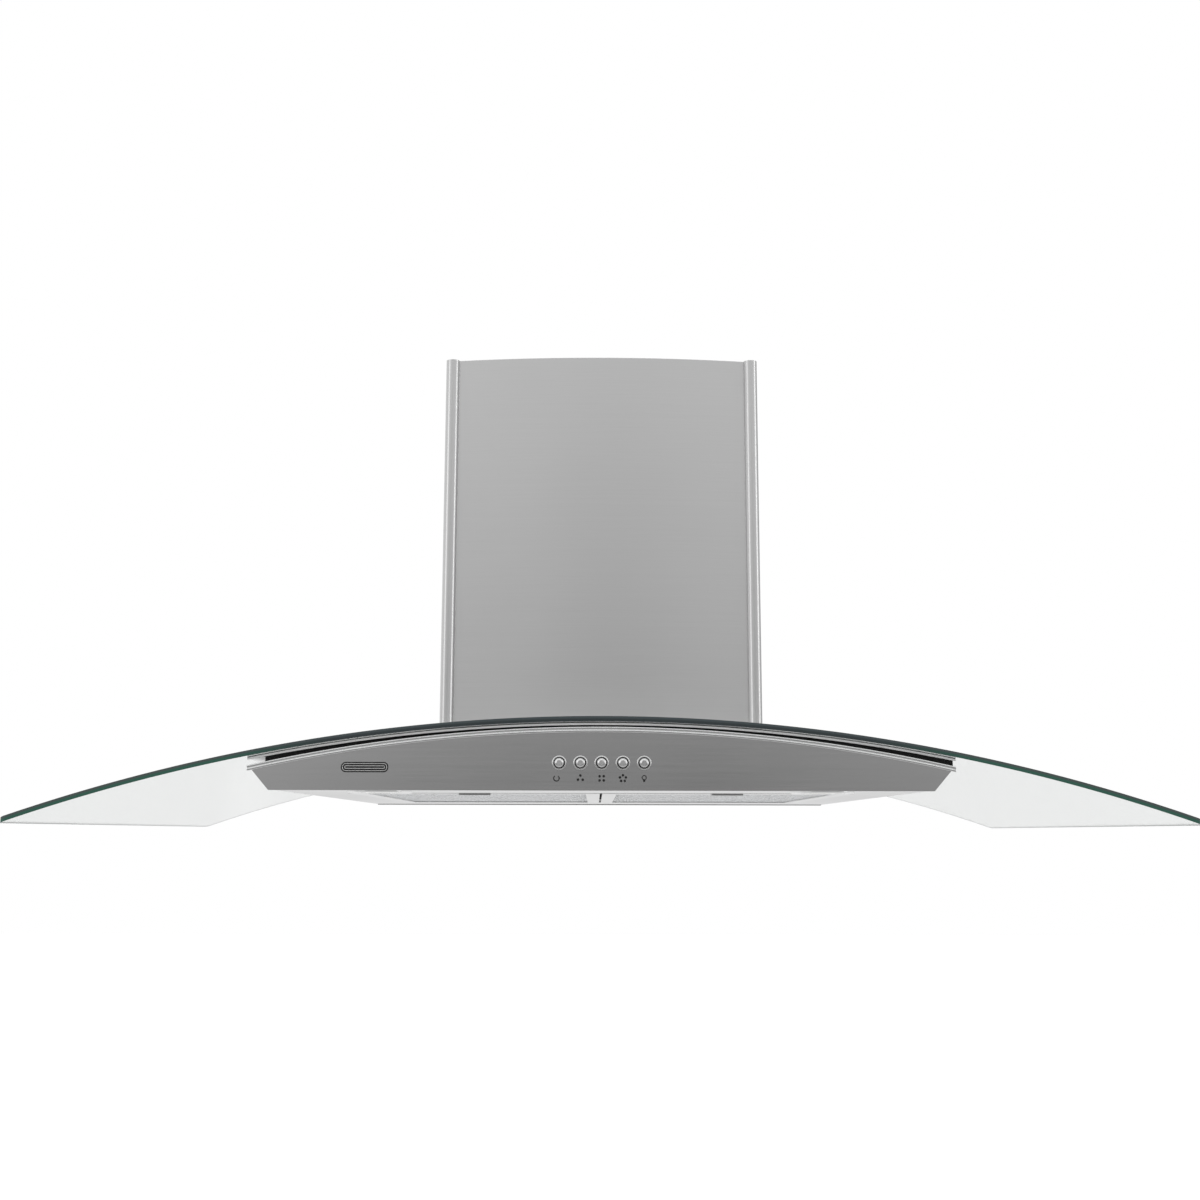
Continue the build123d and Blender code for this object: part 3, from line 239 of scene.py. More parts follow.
def polished_metal(name, level, roughness):
    """Polished metal with faint polishing haze and fine upright scratches."""
    material, tree, bsdf = new_material(name, Metallic=1.0)
    haze = noise(tree, 60.0, 4.0, 0.6)
    scratch = noise(tree, 1.0, 2.0, 0.5, (900, 900, 90))
    edges = edge_mask(tree, 0.5 * MM)
    base = blend_colors(tree, haze, grey(level * 0.95), grey(level))
    base = blend_colors(tree, edges, base, grey(min(1.0, level * 1.1)))
    rough = span(tree, haze, 0.35, 0.75, roughness, roughness + POLISH_SCUFF)
    rough = total(tree, rough, span(tree, scratch, 0.62, 0.8, 0.0, POLISH_SCUFF))
    normal = bump(tree, scratch, 0.05, 0.01 * MM, Normal=soft_corners(tree, 0.25 * MM))
    connect(tree, bsdf, Base_Color=base, Roughness=rough, Normal=normal)
    return material


def hem_metal(name, level):
    """The bright folded edge of the arched plate, with a light satin haze along it."""
    material, tree, bsdf = new_material(name, Metallic=0.35)
    haze = noise(tree, 1.0, 2.0, 0.5, (30, 200, 200))
    base = blend_colors(tree, haze, grey(level * 0.95), grey(level))
    connect(tree, bsdf, Base_Color=base, Roughness=span(tree, haze, 0.3, 0.7, 0.34, 0.40))
    return material


def zinc_coat(name, level, spangle=0.1, crystal=260.0, roughness=0.42, metallic=0.9):
    """Zinc-coated sheet: irregular crystals of slightly different grey, dulled at the edges."""
    material, tree, bsdf = new_material(name, Metallic=metallic)
    inputs = {"Vector": part_coordinates(tree), "Scale": crystal, "Randomness": 1.0}
    cells = add(tree, "ShaderNodeTexVoronoi", inputs).outputs["Color"]
    cell = add(tree, "ShaderNodeSeparateColor", {"Color": cells}).outputs["Red"]
    cloud = noise(tree, 24.0, 4.0, 0.6)
    edges = edge_mask(tree, 0.6 * MM)
    tone = total(tree, product(tree, cell, 0.6), product(tree, cloud, 0.4))
    darker, lighter = grey(level * (1 - spangle), -0.01), grey(level * (1 + spangle), -0.015)
    base = blend_colors(tree, tone, darker, lighter)
    base = blend_colors(tree, edges, base, grey(level * 0.82))
    rough = span(tree, cell, 0.0, 1.0, roughness - 0.08, roughness + 0.1)
    normal = bump(tree, tone, 0.12, 0.03 * MM)
    connect(tree, bsdf, Base_Color=base, Roughness=rough, Normal=normal)
    return material


def plastic(name, color, roughness=0.5, texture=900.0, depth=0.04 * MM):
    """Moulded plastic with a fine spark texture and slightly polished edges."""
    material, tree, bsdf = new_material(name)
    grain = noise(tree, texture, 3.0, 0.6)
    cloud = noise(tree, 40.0, 3.0)
    edges = edge_mask(tree, 0.4 * MM)
    darker = tuple(c * 0.9 for c in color) + (1.0,)
    lighter = tuple(min(1.0, c * 1.35 + 0.01) for c in color) + (1.0,)
    base = blend_colors(tree, cloud, darker, (*color, 1.0))
    base = blend_colors(tree, product(tree, edges, 0.6), base, lighter)
    rough = span(tree, grain, 0.3, 0.7, roughness - 0.07, roughness + 0.07)
    rough = less(tree, rough, product(tree, edges, 0.12))
    connect(tree, bsdf, Base_Color=base, Roughness=rough, Normal=bump(tree, grain, 0.35, depth))
    return material


def foam(name, level):
    """Closed-cell foam: small pores that break up the surface."""
    material, tree, bsdf = new_material(name)
    inputs = {"Vector": part_coordinates(tree), "Scale": 1400.0}
    pores = add(tree, "ShaderNodeTexVoronoi", inputs).outputs["Distance"]
    base = blend_colors(tree, span(tree, pores, 0.1, 0.6), grey(level * 0.5), grey(level * 1.4))
    rough = span(tree, pores, 0.0, 0.6, 0.95, 0.8)
    normal = bump(tree, pores, 0.6, 0.15 * MM)
    connect(tree, bsdf, Base_Color=base, Roughness=rough, Normal=normal)
    return material


def glass_edge_tint_and_shade(tree, ground):
    """The ground edge's colour: painted shade, slate over the body where the body lies dark behind it and
    darker at its foot, and the glass's own green out at the tips.
    """
    x, _, z = components(tree, part_coordinates(tree))
    outwards = span(tree, size_of(tree, x), 0.20, 0.30)
    radius = hypotenuse(tree, x, less(tree, z, GLASS_AXIS))
    depth = less(tree, GLASS_RADIUS, radius)
    lower = span(tree, depth, 0.25 * GLASS_THICKNESS, 0.6 * GLASS_THICKNESS)
    shaded_slate = blend_colors(tree, lower, *SHADED_SLATE_EDGE)
    green = blend_colors(tree, lower, *GREEN_EDGE)
    tint = blend_colors(tree, outwards, shaded_slate, green)
    return blend_colors(tree, product(tree, ground, 0.3), tint, GROUND_SPECKS)


def canopy_glass(name):
    """Clear tempered glass, with a faint film and wiping marks on it, and matt ground edges whose colour
    holds painted shade over the body.
    """
    material, tree, bsdf = new_material(name, Transmission_Weight=1.0, IOR=1.46, Roughness=0.0)
    normal = add(tree, "ShaderNodeNewGeometry").outputs["True Normal"]
    sideways, lengthways, _ = components(tree, normal)
    steepest = math_node(tree, "MAXIMUM", size_of(tree, sideways), size_of(tree, lengthways))
    edge = span(tree, steepest, 0.55, 0.7)
    film = noise(tree, 9.0, 4.0, 0.6)
    wipe = noise(tree, 1.0, 3.0, 0.6, (14, 55, 14))
    ground = noise(tree, 700.0, 3.0, 0.6)
    clear = blend_colors(tree, film, *CLEAR_GLASS)
    connect(tree, bsdf, Base_Color=clear, Roughness=span(tree, wipe, 0.55, 0.8, 0.0, 0.035))
    body = add(tree, "ShaderNodeBsdfPrincipled", {"Specular IOR Level": 0.25})
    matt = span(tree, ground, 0.3, 0.7, 0.3, 0.45)
    connect(tree, body, Base_Color=glass_edge_tint_and_shade(tree, ground), Roughness=matt)
    mixed = add(tree, "ShaderNodeMixShader", {0: edge, 1: bsdf.outputs[0], 2: body.outputs[0]})
    tree.links.new(mixed.outputs[0], tree.nodes["Material Output"].inputs["Surface"])
    return material


def frosted_lens(name, centre):
    """Opal lens with faint rings round each lamp's own centre."""
    sockets = {"Transmission_Weight": 0.1, "IOR": 1.45, "Roughness": 0.35, "Emission_Strength": 0.12}
    material, tree, bsdf = new_material(name, Emission_Color=(1.0, 0.99, 0.96, 1.0), **sockets)
    x, y, _ = components(tree, part_coordinates(tree))
    x = less(tree, size_of(tree, x), abs(centre.x))
    radius = hypotenuse(tree, x, less(tree, y, centre.y))
    rings = math_node(tree, "SINE", product(tree, radius, 2 * math.pi / LENS_RING_PITCH))
    grain = noise(tree, 1500.0, 2.0)
    pale, white = (0.90, 0.90, 0.88, 1.0), (0.97, 0.97, 0.95, 1.0)
    base = blend_colors(tree, span(tree, grain, 0.35, 0.7), pale, white)
    height = total(tree, product(tree, rings, 0.5), product(tree, grain, 0.4))
    connect(tree, bsdf, Base_Color=base, Normal=bump(tree, height, 0.3, 0.2 * MM))
    return material


def printed_ink(name, level):
    """Ink printed on the steel: matt, with slightly uneven cover."""
    material, tree, bsdf = new_material(name, Roughness=0.55)
    cover = noise(tree, 900.0, 3.0)
    base = blend_colors(tree, cover, grey(level * 0.7), grey(level * 1.4))
    connect(tree, bsdf, Base_Color=base, Normal=bump(tree, cover, 0.2, 0.02 * MM))
    return material


ALONG_X_UPRIGHT = (22.0, 22.0, 3600.0)
ALONG_X_FLAT = (22.0, 3600.0, 22.0)


def slot_materials():
    """One material for each of the record's slots."""
    lens_low, lens_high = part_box("lamp_housing_right")
    return {
        "chimney_steel": brushed_steel("chimney_steel", 0.66, 0.34, ALONG_X_UPRIGHT, anisotropy=0.6),
        "panel_steel": brushed_steel("panel_steel", 0.52, 0.21, ALONG_X_UPRIGHT, anisotropy=0.75),
        "canopy_steel": brushed_steel("canopy_steel", 0.80, 0.30, ALONG_X_FLAT),
        "underside_steel": brushed_steel("underside_steel", 0.78, 0.30, ALONG_X_FLAT, quarter_turn=0.0),
        "latch_steel": brushed_steel("latch_steel", 0.60, 0.32, ALONG_X_FLAT),
        "polished_steel": polished_metal("polished_steel", 0.90, 0.16),
        "button_chrome": polished_metal("button_chrome", 0.80, 0.20),
        "lamp_metal": polished_metal("lamp_metal", 0.88, 0.2),
        "galvanised_steel": zinc_coat("galvanised_steel", 0.52),
        "impeller_steel": zinc_coat("impeller_steel", 0.45, 0.06, 420.0),
        "zinc_steel": zinc_coat("zinc_steel", 0.62, 0.05, 900.0, 0.3),
        "filter_aluminium": brushed_steel("filter_aluminium", 0.86, 0.34, ALONG_X_FLAT, anisotropy=0.4),
        "filter_mesh": zinc_coat("filter_mesh", 0.95, 0.03, 700.0, 0.32, 0.3),
        "canopy_glass": canopy_glass("canopy_glass"),
        "frosted_lens": frosted_lens("frosted_lens", (lens_low + lens_high) / 2),
        "black_foam": foam("black_foam", 0.012),
        "black_rubber": plastic("black_rubber", (0.02, 0.02, 0.02), 0.6, 700.0),
        "black_plastic": plastic("black_plastic", (0.025, 0.025, 0.027), 0.45),
        "white_plastic": plastic("white_plastic", (0.70, 0.69, 0.64), 0.4),
        "capacitor_can": plastic("capacitor_can", (0.72, 0.72, 0.69), 0.25),
        "cable_sheath": plastic("cable_sheath", (0.03, 0.03, 0.032), 0.4, 1200.0),
        "collar_plastic": plastic("collar_plastic", (0.05, 0.05, 0.052), 0.5, 600.0),
        "motor_iron": plastic("motor_iron", (0.035, 0.035, 0.038), 0.35, 500.0, 0.08 * MM),
    }


def dress_nodes(materials):
    for part in frame["record"]["subparts"]:
        slots = NODES[part["node"]].data.materials
        slots.clear()
        slots.append(materials[part["material_slot"]])


# ---- Mesh helpers --------------------------------------------------------------------------------
SHARP_ANGLE = math.radians(50)


def mesh_object(name, shape, material):
    """A bmesh as an object with one material."""
    mesh = bpy.data.meshes.new(name)
    shape.to_mesh(mesh)
    shape.free()
    mesh.materials.append(material)
    return link_object(name, mesh)


def finish_piece(name, shape, material, body):
    """A bmesh as an object that rides on a body and takes the material it is given."""
    piece = mesh_object(name, shape, material)
    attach(piece, body)
    return piece


def even_steps(start, end, count):
    return [start + (end - start) * k / count for k in range(count + 1)]


def slab(shape, outline, holes, front, thickness):
    """A thin upright plate whose outline is a closed list of (x, z), from front towards -Y by thickness."""
    edges = []
    for ring in [outline, *holes]:
        corners = [shape.verts.new((x, front, z)) for x, z in ring]
        edges += [shape.edges.new((a, b)) for a, b in zip(corners, corners[1:] + corners[:1])]
    filled = bmesh.ops.triangle_fill(shape, edges=edges, use_beauty=True, normal=(0, -1, 0))
    faces = [f for f in filled["geom"] if isinstance(f, bmesh.types.BMFace)]
    moved = bmesh.ops.extrude_face_region(shape, geom=faces)
    corners = [v for v in moved["geom"] if isinstance(v, bmesh.types.BMVert)]
    bmesh.ops.translate(shape, verts=corners, vec=(0, -thickness, 0))
    bmesh.ops.recalc_face_normals(shape, faces=shape.faces)


def skin(shape, rings):
    """Faces between each closed ring of vertices and the next, and over both ends."""
    for first, second in zip(rings, rings[1:]):
        for a in range(len(first)):
            b = (a + 1) % len(first)
            shape.faces.new((first[a], second[a], second[b], first[b]))
    shape.faces.new(rings[0])
    shape.faces.new(rings[-1][::-1])


def smooth_rounds(shape):
    """Smooth shading over the curves, with every real corner kept sharp."""
    bmesh.ops.recalc_face_normals(shape, faces=shape.faces)
    for face in shape.faces:
        face.smooth = True
    for edge in shape.edges:
        edge.smooth = len(edge.link_faces) == 2 and edge.calc_face_angle() < SHARP_ANGLE


def arc(cx, cz, radius, start, end, steps):
    """Points on a circle about (cx, cz), from start to end in degrees."""
    angles = [math.radians(start + (end - start) * k / steps) for k in range(steps + 1)]
    return [(cx + radius * math.cos(a), cz + radius * math.sin(a)) for a in angles]


def disc(cx, cz, radius, steps=20):
    return arc(cx, cz, radius, 0, 360 * (steps - 1) / steps, steps - 1)


# ---- Canopy glass and trim -----------------------------------------------------------------------
GLASS_STEPS = 240
OPENING_HALF = 128.7 * MM
CORNER_RADIUS = 5.0 * MM
CORNER_STEPS = 6
HEM_HEIGHT = 1.5 * MM
HEM_DEPTH = 4.0 * MM
HEM_LIFT = 0.05 * MM
BED_THICKNESS = 0.5 * MM
TRIM_STEPS = 120
# How far down the moulding, as a share of its height, and how far out, as a share of its depth.
TRIM_UPPER_RIB = [(0.0, 0.0), (0.0, 0.55), (0.05, 0.85), (0.16, 1.0), (0.30, 0.95), (0.40, 0.72)]
TRIM_GROOVE = [(0.44, 0.5), (0.50, 0.45), (0.55, 0.55)]
TRIM_LOWER_RIB = [(0.60, 0.85), (0.72, 0.95), (0.88, 0.8), (0.97, 0.45), (1.0, 0.0)]


def arch(axis, radius, x):
    """The height at x of an arch of this radius about an axis along Y."""
    return axis + math.sqrt(radius**2 - x * x)


def bent_grid(shape, xs, lines, missing):
    """The glass's upper face: lines hold its y at each x, and the missing cells have no face."""
    rows = []
    for ys in lines:
        rows.append([shape.verts.new((x, y, arch(GLASS_AXIS, GLASS_RADIUS, x))) for x, y in zip(xs, ys)])
    middle = len(xs) // 2
    for j in range(len(lines) - 1):
        for i in range(len(xs) - 1):
            if not missing((xs[i] + xs[i + 1]) / 2, (lines[j][middle] + lines[j + 1][middle]) / 2):
                shape.faces.new((rows[j][i], rows[j][i + 1], rows[j + 1][i + 1], rows[j + 1][i]))


def make_glass(material):
    """The canopy's glass as one smoothly bent sheet, with rounded corners and its opening for the blower."""
    half_x, half_y = GLASS_HIGH.x, GLASS_HIGH.y
    turns = [math.radians(90 * (1 - k / CORNER_STEPS)) for k in range(CORNER_STEPS)]
    tip = [-(half_x - CORNER_RADIUS + CORNER_RADIUS * math.sin(turn)) for turn in turns]
    outside = tip + even_steps(CORNER_RADIUS - half_x, -OPENING_HALF, GLASS_STEPS // 3)
    middle = even_steps(-OPENING_HALF, OPENING_HALF, GLASS_STEPS // 3)
    xs = outside[:-1] + middle + [-x for x in outside[-2::-1]]

    def reach(x):
        """How far the sheet runs to the front and rear at x: less within its rounded corners."""
        past = max(0.0, abs(x) - half_x + CORNER_RADIUS)
        return half_y - CORNER_RADIUS + math.sqrt(max(0.0, CORNER_RADIUS**2 - past**2))

    def missing(x, y):
        return abs(x) < OPENING_HALF and abs(y) < OPENING_HALF

    shape = bmesh.new()
    inner = [OPENING_HALF] * len(xs)
    outer = [reach(x) for x in xs]
    lines = [[-y for y in outer], [-y for y in inner], inner, outer]
    bent_grid(shape, xs, lines, missing)
    moved = bmesh.ops.extrude_face_region(shape, geom=list(shape.faces))
    for vertex in (v for v in moved["geom"] if isinstance(v, bmesh.types.BMVert)):
        vertex.co.z = arch(GLASS_AXIS, GLASS_RADIUS - GLASS_THICKNESS, vertex.co.x)
    smooth_rounds(shape)
    piece = finish_piece("curved_glass", shape, material, "hood")
    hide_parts("glass_canopy")


def make_hem(name, side, material):
    """The smooth folded edge of the arched plate, along the front (side -1) or the rear (side 1)."""
    low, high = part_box("top_plate")
    outer = GLASS_RADIUS - GLASS_THICKNESS - BED_THICKNESS
    face = side * (high.y + HEM_LIFT)
    inside = face - side * HEM_DEPTH
    shape = bmesh.new()
    rings = []
    for x in even_steps(low.x, high.x, GLASS_STEPS // 2):
        top = arch(GLASS_AXIS, outer, x)
        bottom = arch(GLASS_AXIS, outer - HEM_HEIGHT, x)
        corners = ((face, bottom), (face, top), (inside, top), (inside, bottom))
        rings.append([shape.verts.new((x, y, z)) for y, z in corners])
    skin(shape, rings)
    smooth_rounds(shape)
    finish_piece(name, shape, material, "hood")


def make_trim(material):
    """The rolled moulding along the front panel's arch: a round rib, a groove and a flatter lower rib."""
    back = PANEL_LOW.y
    proud = back - TRIM_LOW.y
    axis = TRIM_HIGH.z - TRIM_RADIUS
    profile = TRIM_UPPER_RIB + TRIM_GROOVE + TRIM_LOWER_RIB
    shape = bmesh.new()
    rings = []
    for x in even_steps(-TRIM_HIGH.x, TRIM_HIGH.x, TRIM_STEPS):
        ring = []
        for down, out in profile:
            height = arch(axis, TRIM_RADIUS - down * TRIM_HEIGHT, x)
            ring.append(shape.verts.new((x, back - out * proud, height)))
        rings.append(ring)
    skin(shape, rings)
    smooth_rounds(shape)
    piece = finish_piece("rolled_trim_front", shape, material, "hood")
    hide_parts("panel_trim_front")


# ---- Icons and badge -----------------------------------------------------------------------------
PRINT_FACE = PANEL_LOW.y + 0.01 * MM
ICON_DROP = 11.6 * MM
ICON_THICKNESS = 0.06 * MM
RING_SHIFT = 2.0 * MM
RING_OUTER = 2.5 * MM
RING_INNER = 1.7 * MM
RING_START, RING_END, RING_STEPS = 125, 415, 28
DOT_RADIUS = 1.0 * MM
DOT_STEPS = 16
DOT_REACH = 1.75
DOT_REACH_EACH = 0.12
BULB_RISE = 0.6 * MM
BULB_OUTER = 1.9 * MM
BULB_INNER = 1.2 * MM
BULB_CAP_HALF = 0.8 * MM
BULB_CAP_TOP = -1.2 * MM
BULB_CAP_FOOT = -2.0 * MM
BADGE_X = -179.5 * MM
BADGE_DROP = 38.3 * MM
BADGE_HALF_WIDTH = 18.0 * MM
BADGE_HALF_HEIGHT = 3.9 * MM
BADGE_THICKNESS = 0.12 * MM
BADGE_ROUNDING = 0.95
INLAY_ROUNDING = 0.9
INLAY_THICKNESS = 0.05 * MM
INLAY_LINES = ((1.0 * MM, 0.45 * MM), (2.7 * MM, 0.5 * MM))


def icon_off(shape, x, z):
    """A ring that is open at its top."""
    x -= RING_SHIFT
    outer = arc(x, z, RING_OUTER, RING_START, RING_END, RING_STEPS)
    inner = arc(x, z, RING_INNER, RING_END, RING_START, RING_STEPS)
    slab(shape, outer + inner, [], PRINT_FACE, ICON_THICKNESS)


def icon_dots(shape, x, z, count):
    """The fan's speed as a ring of dots, turned by half a step when there are four."""
    reach = (DOT_REACH + DOT_REACH_EACH * count) * MM
    first = 0.5 if count == 4 else 0.0
    for k in range(count):
        angle = math.radians(90 + 360 * (k + first) / count)
        dot = disc(x + reach * math.cos(angle), z + reach * math.sin(angle), DOT_RADIUS, DOT_STEPS)
        slab(shape, dot, [], PRINT_FACE, ICON_THICKNESS)


def icon_bulb(shape, x, z):
    """A bulb: a thin ring over a small base."""
    middle = z + BULB_RISE
    ring = disc(x, middle, BULB_OUTER)
    slab(shape, ring, [disc(x, middle, BULB_INNER)], PRINT_FACE, ICON_THICKNESS)
    left, right = x - BULB_CAP_HALF, x + BULB_CAP_HALF
    cap = [(left, z + BULB_CAP_TOP), (right, z + BULB_CAP_TOP), (right, z + BULB_CAP_FOOT)]
    cap += arc(x, z + BULB_CAP_FOOT, BULB_CAP_HALF, 0, -180, 8)[1:]
    slab(shape, cap, [], PRINT_FACE, ICON_THICKNESS)


def make_icons(material):
    """The marks under the buttons, as one thin printed piece."""
    shape = bmesh.new()
    for name, count in (("off", 0), ("low", 3), ("medium", 4), ("high", 5), ("light", 0)):
        low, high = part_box("button_" + name)
        x, z = (low.x + high.x) / 2, (low.z + high.z) / 2 - ICON_DROP
        if count:
            icon_dots(shape, x, z, count)
        elif name == "off":
            icon_off(shape, x, z)
        else:
            icon_bulb(shape, x, z)
    finish_piece("panel_icons", shape, material, "hood")


def badge_outline(inset, rounding):
    """The plaque's outline moved inwards by inset, its corners rounded by a share of its half height."""
    half_x, half_z = BADGE_HALF_WIDTH - inset, BADGE_HALF_HEIGHT - inset
    radius = rounding * half_z
    middle = GLASS_HIGH.z - BADGE_DROP
    outline = []
    for sx, sz, start in ((1, 1, 0), (-1, 1, 90), (-1, -1, 180), (1, -1, 270)):
        cx = BADGE_X + sx * (half_x - radius)
        outline += arc(cx, middle + sz * (half_z - radius), radius, start, start + 90, 8)
    return outline


def make_badge(ink, metal):
    """A plain plaque: a dark rounded bar with two bright lines inlaid round it, and no lettering."""
    plate = bmesh.new()
    slab(plate, badge_outline(0.0, BADGE_ROUNDING), [], PRINT_FACE, BADGE_THICKNESS)
    finish_piece("plain_badge", plate, ink, "hood")
    inlay = bmesh.new()
    for inset, width in INLAY_LINES:
        inside = badge_outline(inset + width, INLAY_ROUNDING)
        outside = badge_outline(inset, INLAY_ROUNDING)
        slab(inlay, outside, [inside], PRINT_FACE - BADGE_THICKNESS, INLAY_THICKNESS)
    finish_piece("badge_inlay", inlay, metal, "hood")


# ---- Filters -------------------------------------------------------------------------------------
MESH_LAYERS = 3
MESH_INSET = 0.6 * MM
MESH_MARGIN = 0.25 * MM
MESH_PITCH_X = 5.2 * MM
MESH_PITCH_Y = 3.4 * MM
STRAND_WIDTH = 0.75 * MM
STRAND_THICKNESS = 0.35 * MM
STRAND_OVERLAP = 0.35
STRAND_TILT = 0.22 * MM


def zigzag(shape, xs, y, height, swing):
    """One strand of expanded metal: a flat ribbon that swings each way as it runs along X."""
    rings = []
    for k, x in enumerate(xs):
        sign = 1 if k % 2 else -1
        low = height + sign * STRAND_TILT
        high = low + STRAND_THICKNESS
        near, far = y + sign * swing - STRAND_WIDTH / 2, y + sign * swing + STRAND_WIDTH / 2
        corners = ((near, low), (far, low), (far, high), (near, high))
        rings.append([shape.verts.new((x, across, z)) for across, z in corners])
    skin(shape, rings)


def make_filter_mesh(side, material):
    """Layers of expanded aluminium mesh in place of the plain sheets."""
    low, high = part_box("filter_mesh_" + side)
    shape = bmesh.new()
    width, depth = high.x - low.x - 2 * MESH_INSET, high.y - low.y - 2 * MESH_INSET
    xs = even_steps(low.x + MESH_INSET, high.x - MESH_INSET, int(width / (MESH_PITCH_X / 2)))
    rows = int(depth / MESH_PITCH_Y) - 1
    pitch = (depth - MESH_PITCH_Y) / rows
    bottom, top = low.z + MESH_MARGIN, high.z - STRAND_THICKNESS - MESH_MARGIN
    for layer, z in enumerate(even_steps(bottom, top, MESH_LAYERS - 1)):
        for row in range(rows + 1):
            y = low.y + MESH_INSET + MESH_PITCH_Y / 2 + pitch * row
            swing = (pitch / 2 - STRAND_WIDTH * STRAND_OVERLAP) * (1 if (row + layer) % 2 else -1)
            zigzag(shape, xs, y, z, swing)
    bmesh.ops.recalc_face_normals(shape, faces=shape.faces)
    piece = finish_piece("expanded_mesh_" + side, shape, material, side + "_filter")
    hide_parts("filter_mesh_" + side)


# ---- Studio --------------------------------------------------------------------------------------
FLOOR_HEIGHT = -1.45
FLOOR_HALF = 14.0
FLOOR_WHITE = (0.86, 0.86, 0.86, 1)
FLOOR_GLOW = (1.4, 2.3, 0.0, 0.34)
FLOOR_REFLECTED = (-2.5, 1.0, 0.20, 0.88)
WHITE = (1, 1, 1, 1)

# The wall as reflections see it: each pair is where a smooth ramp starts and ends, along one
# coordinate of the direction looked in. A patch straight ahead of the hood is darkened, and so is a
# low band in front. A narrow upright strip is brightened, and the right of the rear wall is darkened.
PATCH_MIDDLE = 0.03
PATCH_SPREAD = (0.03, 0.30)
PATCH_TOP = (0.03, 0.15)
PATCH_AHEAD = (-0.75, 0.1)
PATCH_LOSS = 0.64
BAND_TOP = (0.06, 0.13)
BAND_AHEAD = (-0.6, -0.3)
BAND_LOSS = 0.40
STRIP_LEFT = (-0.25, -0.23)
STRIP_RIGHT = (-0.22, -0.20)
STRIP_TOP = (0.03, 0.065)
STRIP_GAIN = 0.15
FRONT_ACROSS = (-0.6, 0.7, 0.86, 0.83)
FRONT_UP = (0.1, 0.9, 0.92, 1.15)
REAR_STARTS = (0.1, 0.6)
REAR_LEVEL = 0.88
FLAG_ACROSS = (0.45, 0.7)
FLAG_BEHIND = (-0.05, 0.25)
FLAG_LOSS = 0.5

# Place, width and height, and energy of each lamp.
KEY_RIGHT = ((2.6, -0.75, 0.1), (0.5, 2.6), 7.0)
FILL_LEFT = ((-2.8, -1.9, 0.2), (1.2, 2.4), 8.0)


def make_floor():
    """A wide pale floor well below the hood, brighter behind it, with its own level in reflections."""
    shape = bmesh.new()
    bmesh.ops.create_grid(shape, x_segments=1, y_segments=1, size=FLOOR_HALF)
    material, tree, bsdf = new_material("pale_floor", Roughness=0.8, Base_Color=FLOOR_WHITE)
    floor = mesh_object("floor", shape, material)
    floor.location.z = FLOOR_HEIGHT
    along = components(tree, part_coordinates(tree))[1]
    bsdf.inputs["Emission Color"].default_value = WHITE
    connect(tree, bsdf, Emission_Strength=span(tree, along, *FLOOR_GLOW))
    mirrored = add(tree, "ShaderNodeEmission", {"Strength": span(tree, along, *FLOOR_REFLECTED)})
    glossy = add(tree, "ShaderNodeLightPath").outputs["Is Glossy Ray"]
    mixed = add(tree, "ShaderNodeMixShader", {0: glossy, 1: bsdf.outputs[0], 2: mirrored.outputs[0]})
    tree.links.new(mixed.outputs[0], tree.nodes["Material Output"].inputs["Surface"])


def area_light(name, location, size, energy, target):
    data = bpy.data.lights.new(name, "AREA")
    data.shape = "RECTANGLE"
    data.size, data.size_y = size
    data.energy = energy
    light = link_object(name, data)
    light.location = location
    light.rotation_euler = (Vector(target) - Vector(location)).to_track_quat("-Z", "Y").to_euler()


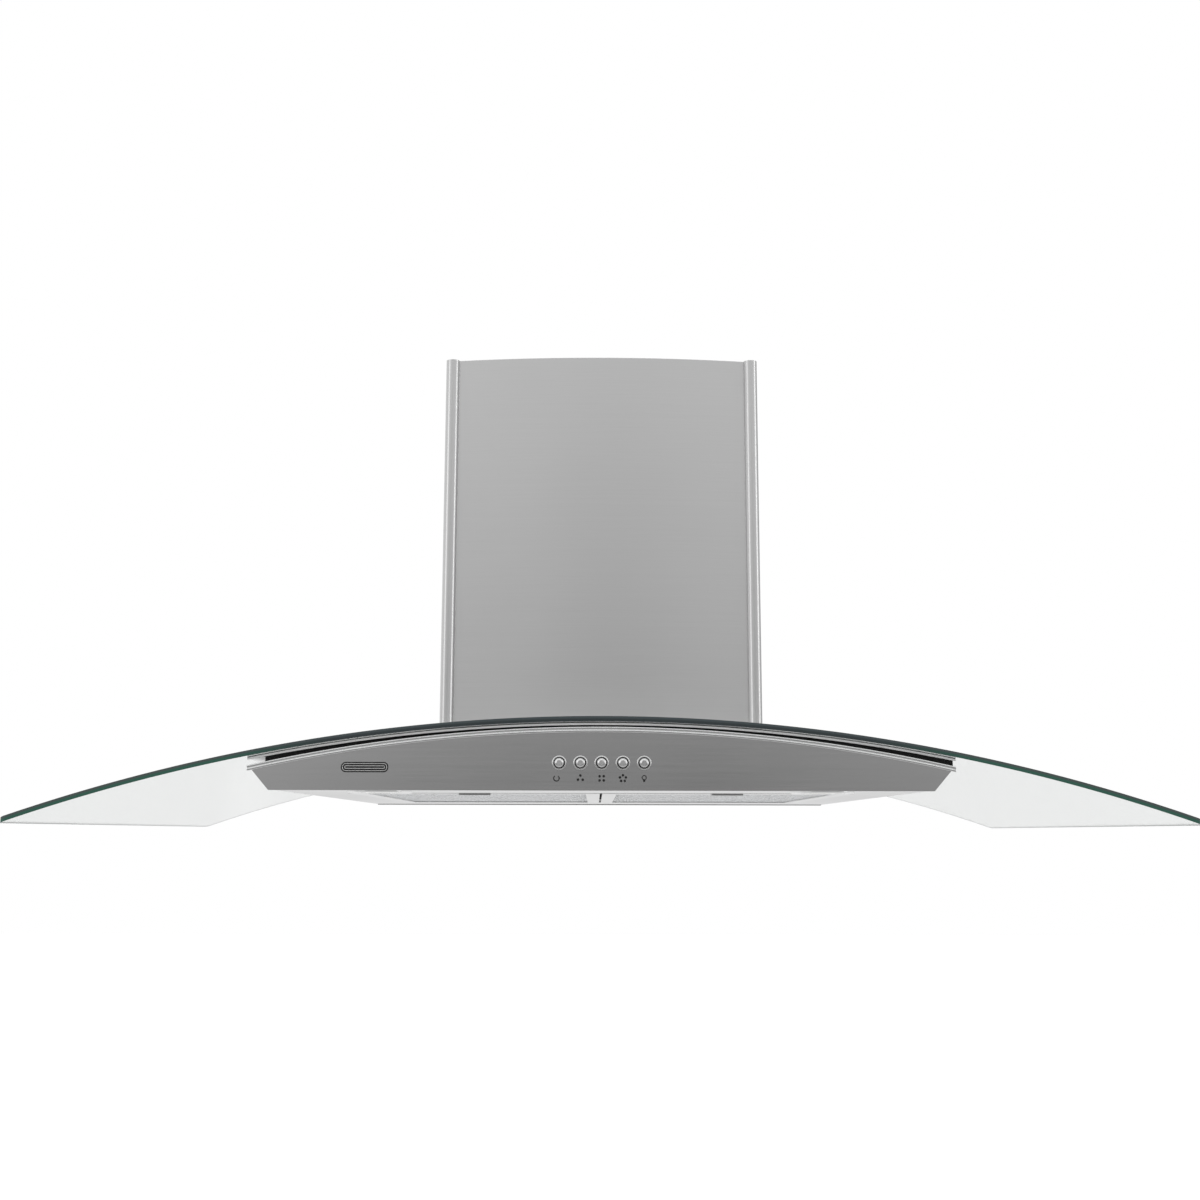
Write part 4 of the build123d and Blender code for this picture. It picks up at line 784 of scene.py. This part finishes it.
def reflected_wall(tree):
    """How bright the studio is in reflections, by the direction looked in."""
    x, y, z = components(tree, add(tree, "ShaderNodeTexCoord").outputs["Generated"])
    aside = size_of(tree, less(tree, x, PATCH_MIDDLE))
    patch = product(tree, fall(tree, aside, *PATCH_SPREAD), fall(tree, z, *PATCH_TOP))
    patch = product(tree, patch, fall(tree, y, *PATCH_AHEAD))
    band = product(tree, fall(tree, z, *BAND_TOP), fall(tree, y, *BAND_AHEAD))
    strip = product(tree, span(tree, x, *STRIP_LEFT), fall(tree, x, *STRIP_RIGHT))
    strip = product(tree, strip, fall(tree, z, *STRIP_TOP))
    front = product(tree, span(tree, x, *FRONT_ACROSS), span(tree, z, *FRONT_UP))
    flag = product(tree, span(tree, x, *FLAG_ACROSS), span(tree, y, *FLAG_BEHIND))
    rear = less(tree, REAR_LEVEL, product(tree, flag, FLAG_LOSS))
    inputs = {0: span(tree, y, *REAR_STARTS), 2: front, 3: rear}
    wall = add(tree, "ShaderNodeMix", inputs, data_type="FLOAT").outputs[0]
    wall = product(tree, wall, less(tree, 1.0, product(tree, patch, PATCH_LOSS)))
    wall = product(tree, wall, less(tree, 1.0, product(tree, band, BAND_LOSS)))
    return total(tree, wall, product(tree, strip, STRIP_GAIN))


def make_world():
    """A white studio. Reflections see an uneven wall instead, so that the steel has something to show."""
    world = bpy.data.worlds.new("studio")
    bpy.context.scene.world = world
    world.use_nodes = True
    tree = world.node_tree
    glossy = add(tree, "ShaderNodeLightPath").outputs["Is Glossy Ray"]
    inputs = {0: glossy, 2: 1.0, 3: reflected_wall(tree)}
    level = add(tree, "ShaderNodeMix", inputs, data_type="FLOAT").outputs[0]
    background = tree.nodes["Background"]
    tree.links.new(level, background.inputs["Strength"])
    background.inputs["Color"].default_value = WHITE


def make_studio():
    make_floor()
    make_world()
    middle = (0, 0, (GLASS_HIGH.z + PANEL_LOW.z) / 2)
    area_light("key_right", *KEY_RIGHT, middle)
    area_light("fill_left", *FILL_LEFT, middle)
    settings = bpy.context.scene.view_settings
    settings.view_transform = "Standard"
    settings.look = "None"


# ---- Build ---------------------------------------------------------------------------------------
make_camera()
make_studio()
materials = slot_materials()
dress_nodes(materials)
make_glass(materials["canopy_glass"])
make_trim(materials["polished_steel"])
hem_steel = hem_metal("hem_steel", 0.80)
make_hem("plate_hem_front", -1, hem_steel)
make_hem("plate_hem_rear", 1, hem_steel)
ink = printed_ink("panel_ink", 0.005)
make_icons(ink)
make_badge(ink, materials["polished_steel"])
for side in ("left", "right"):
    make_filter_mesh(side, materials["filter_mesh"])
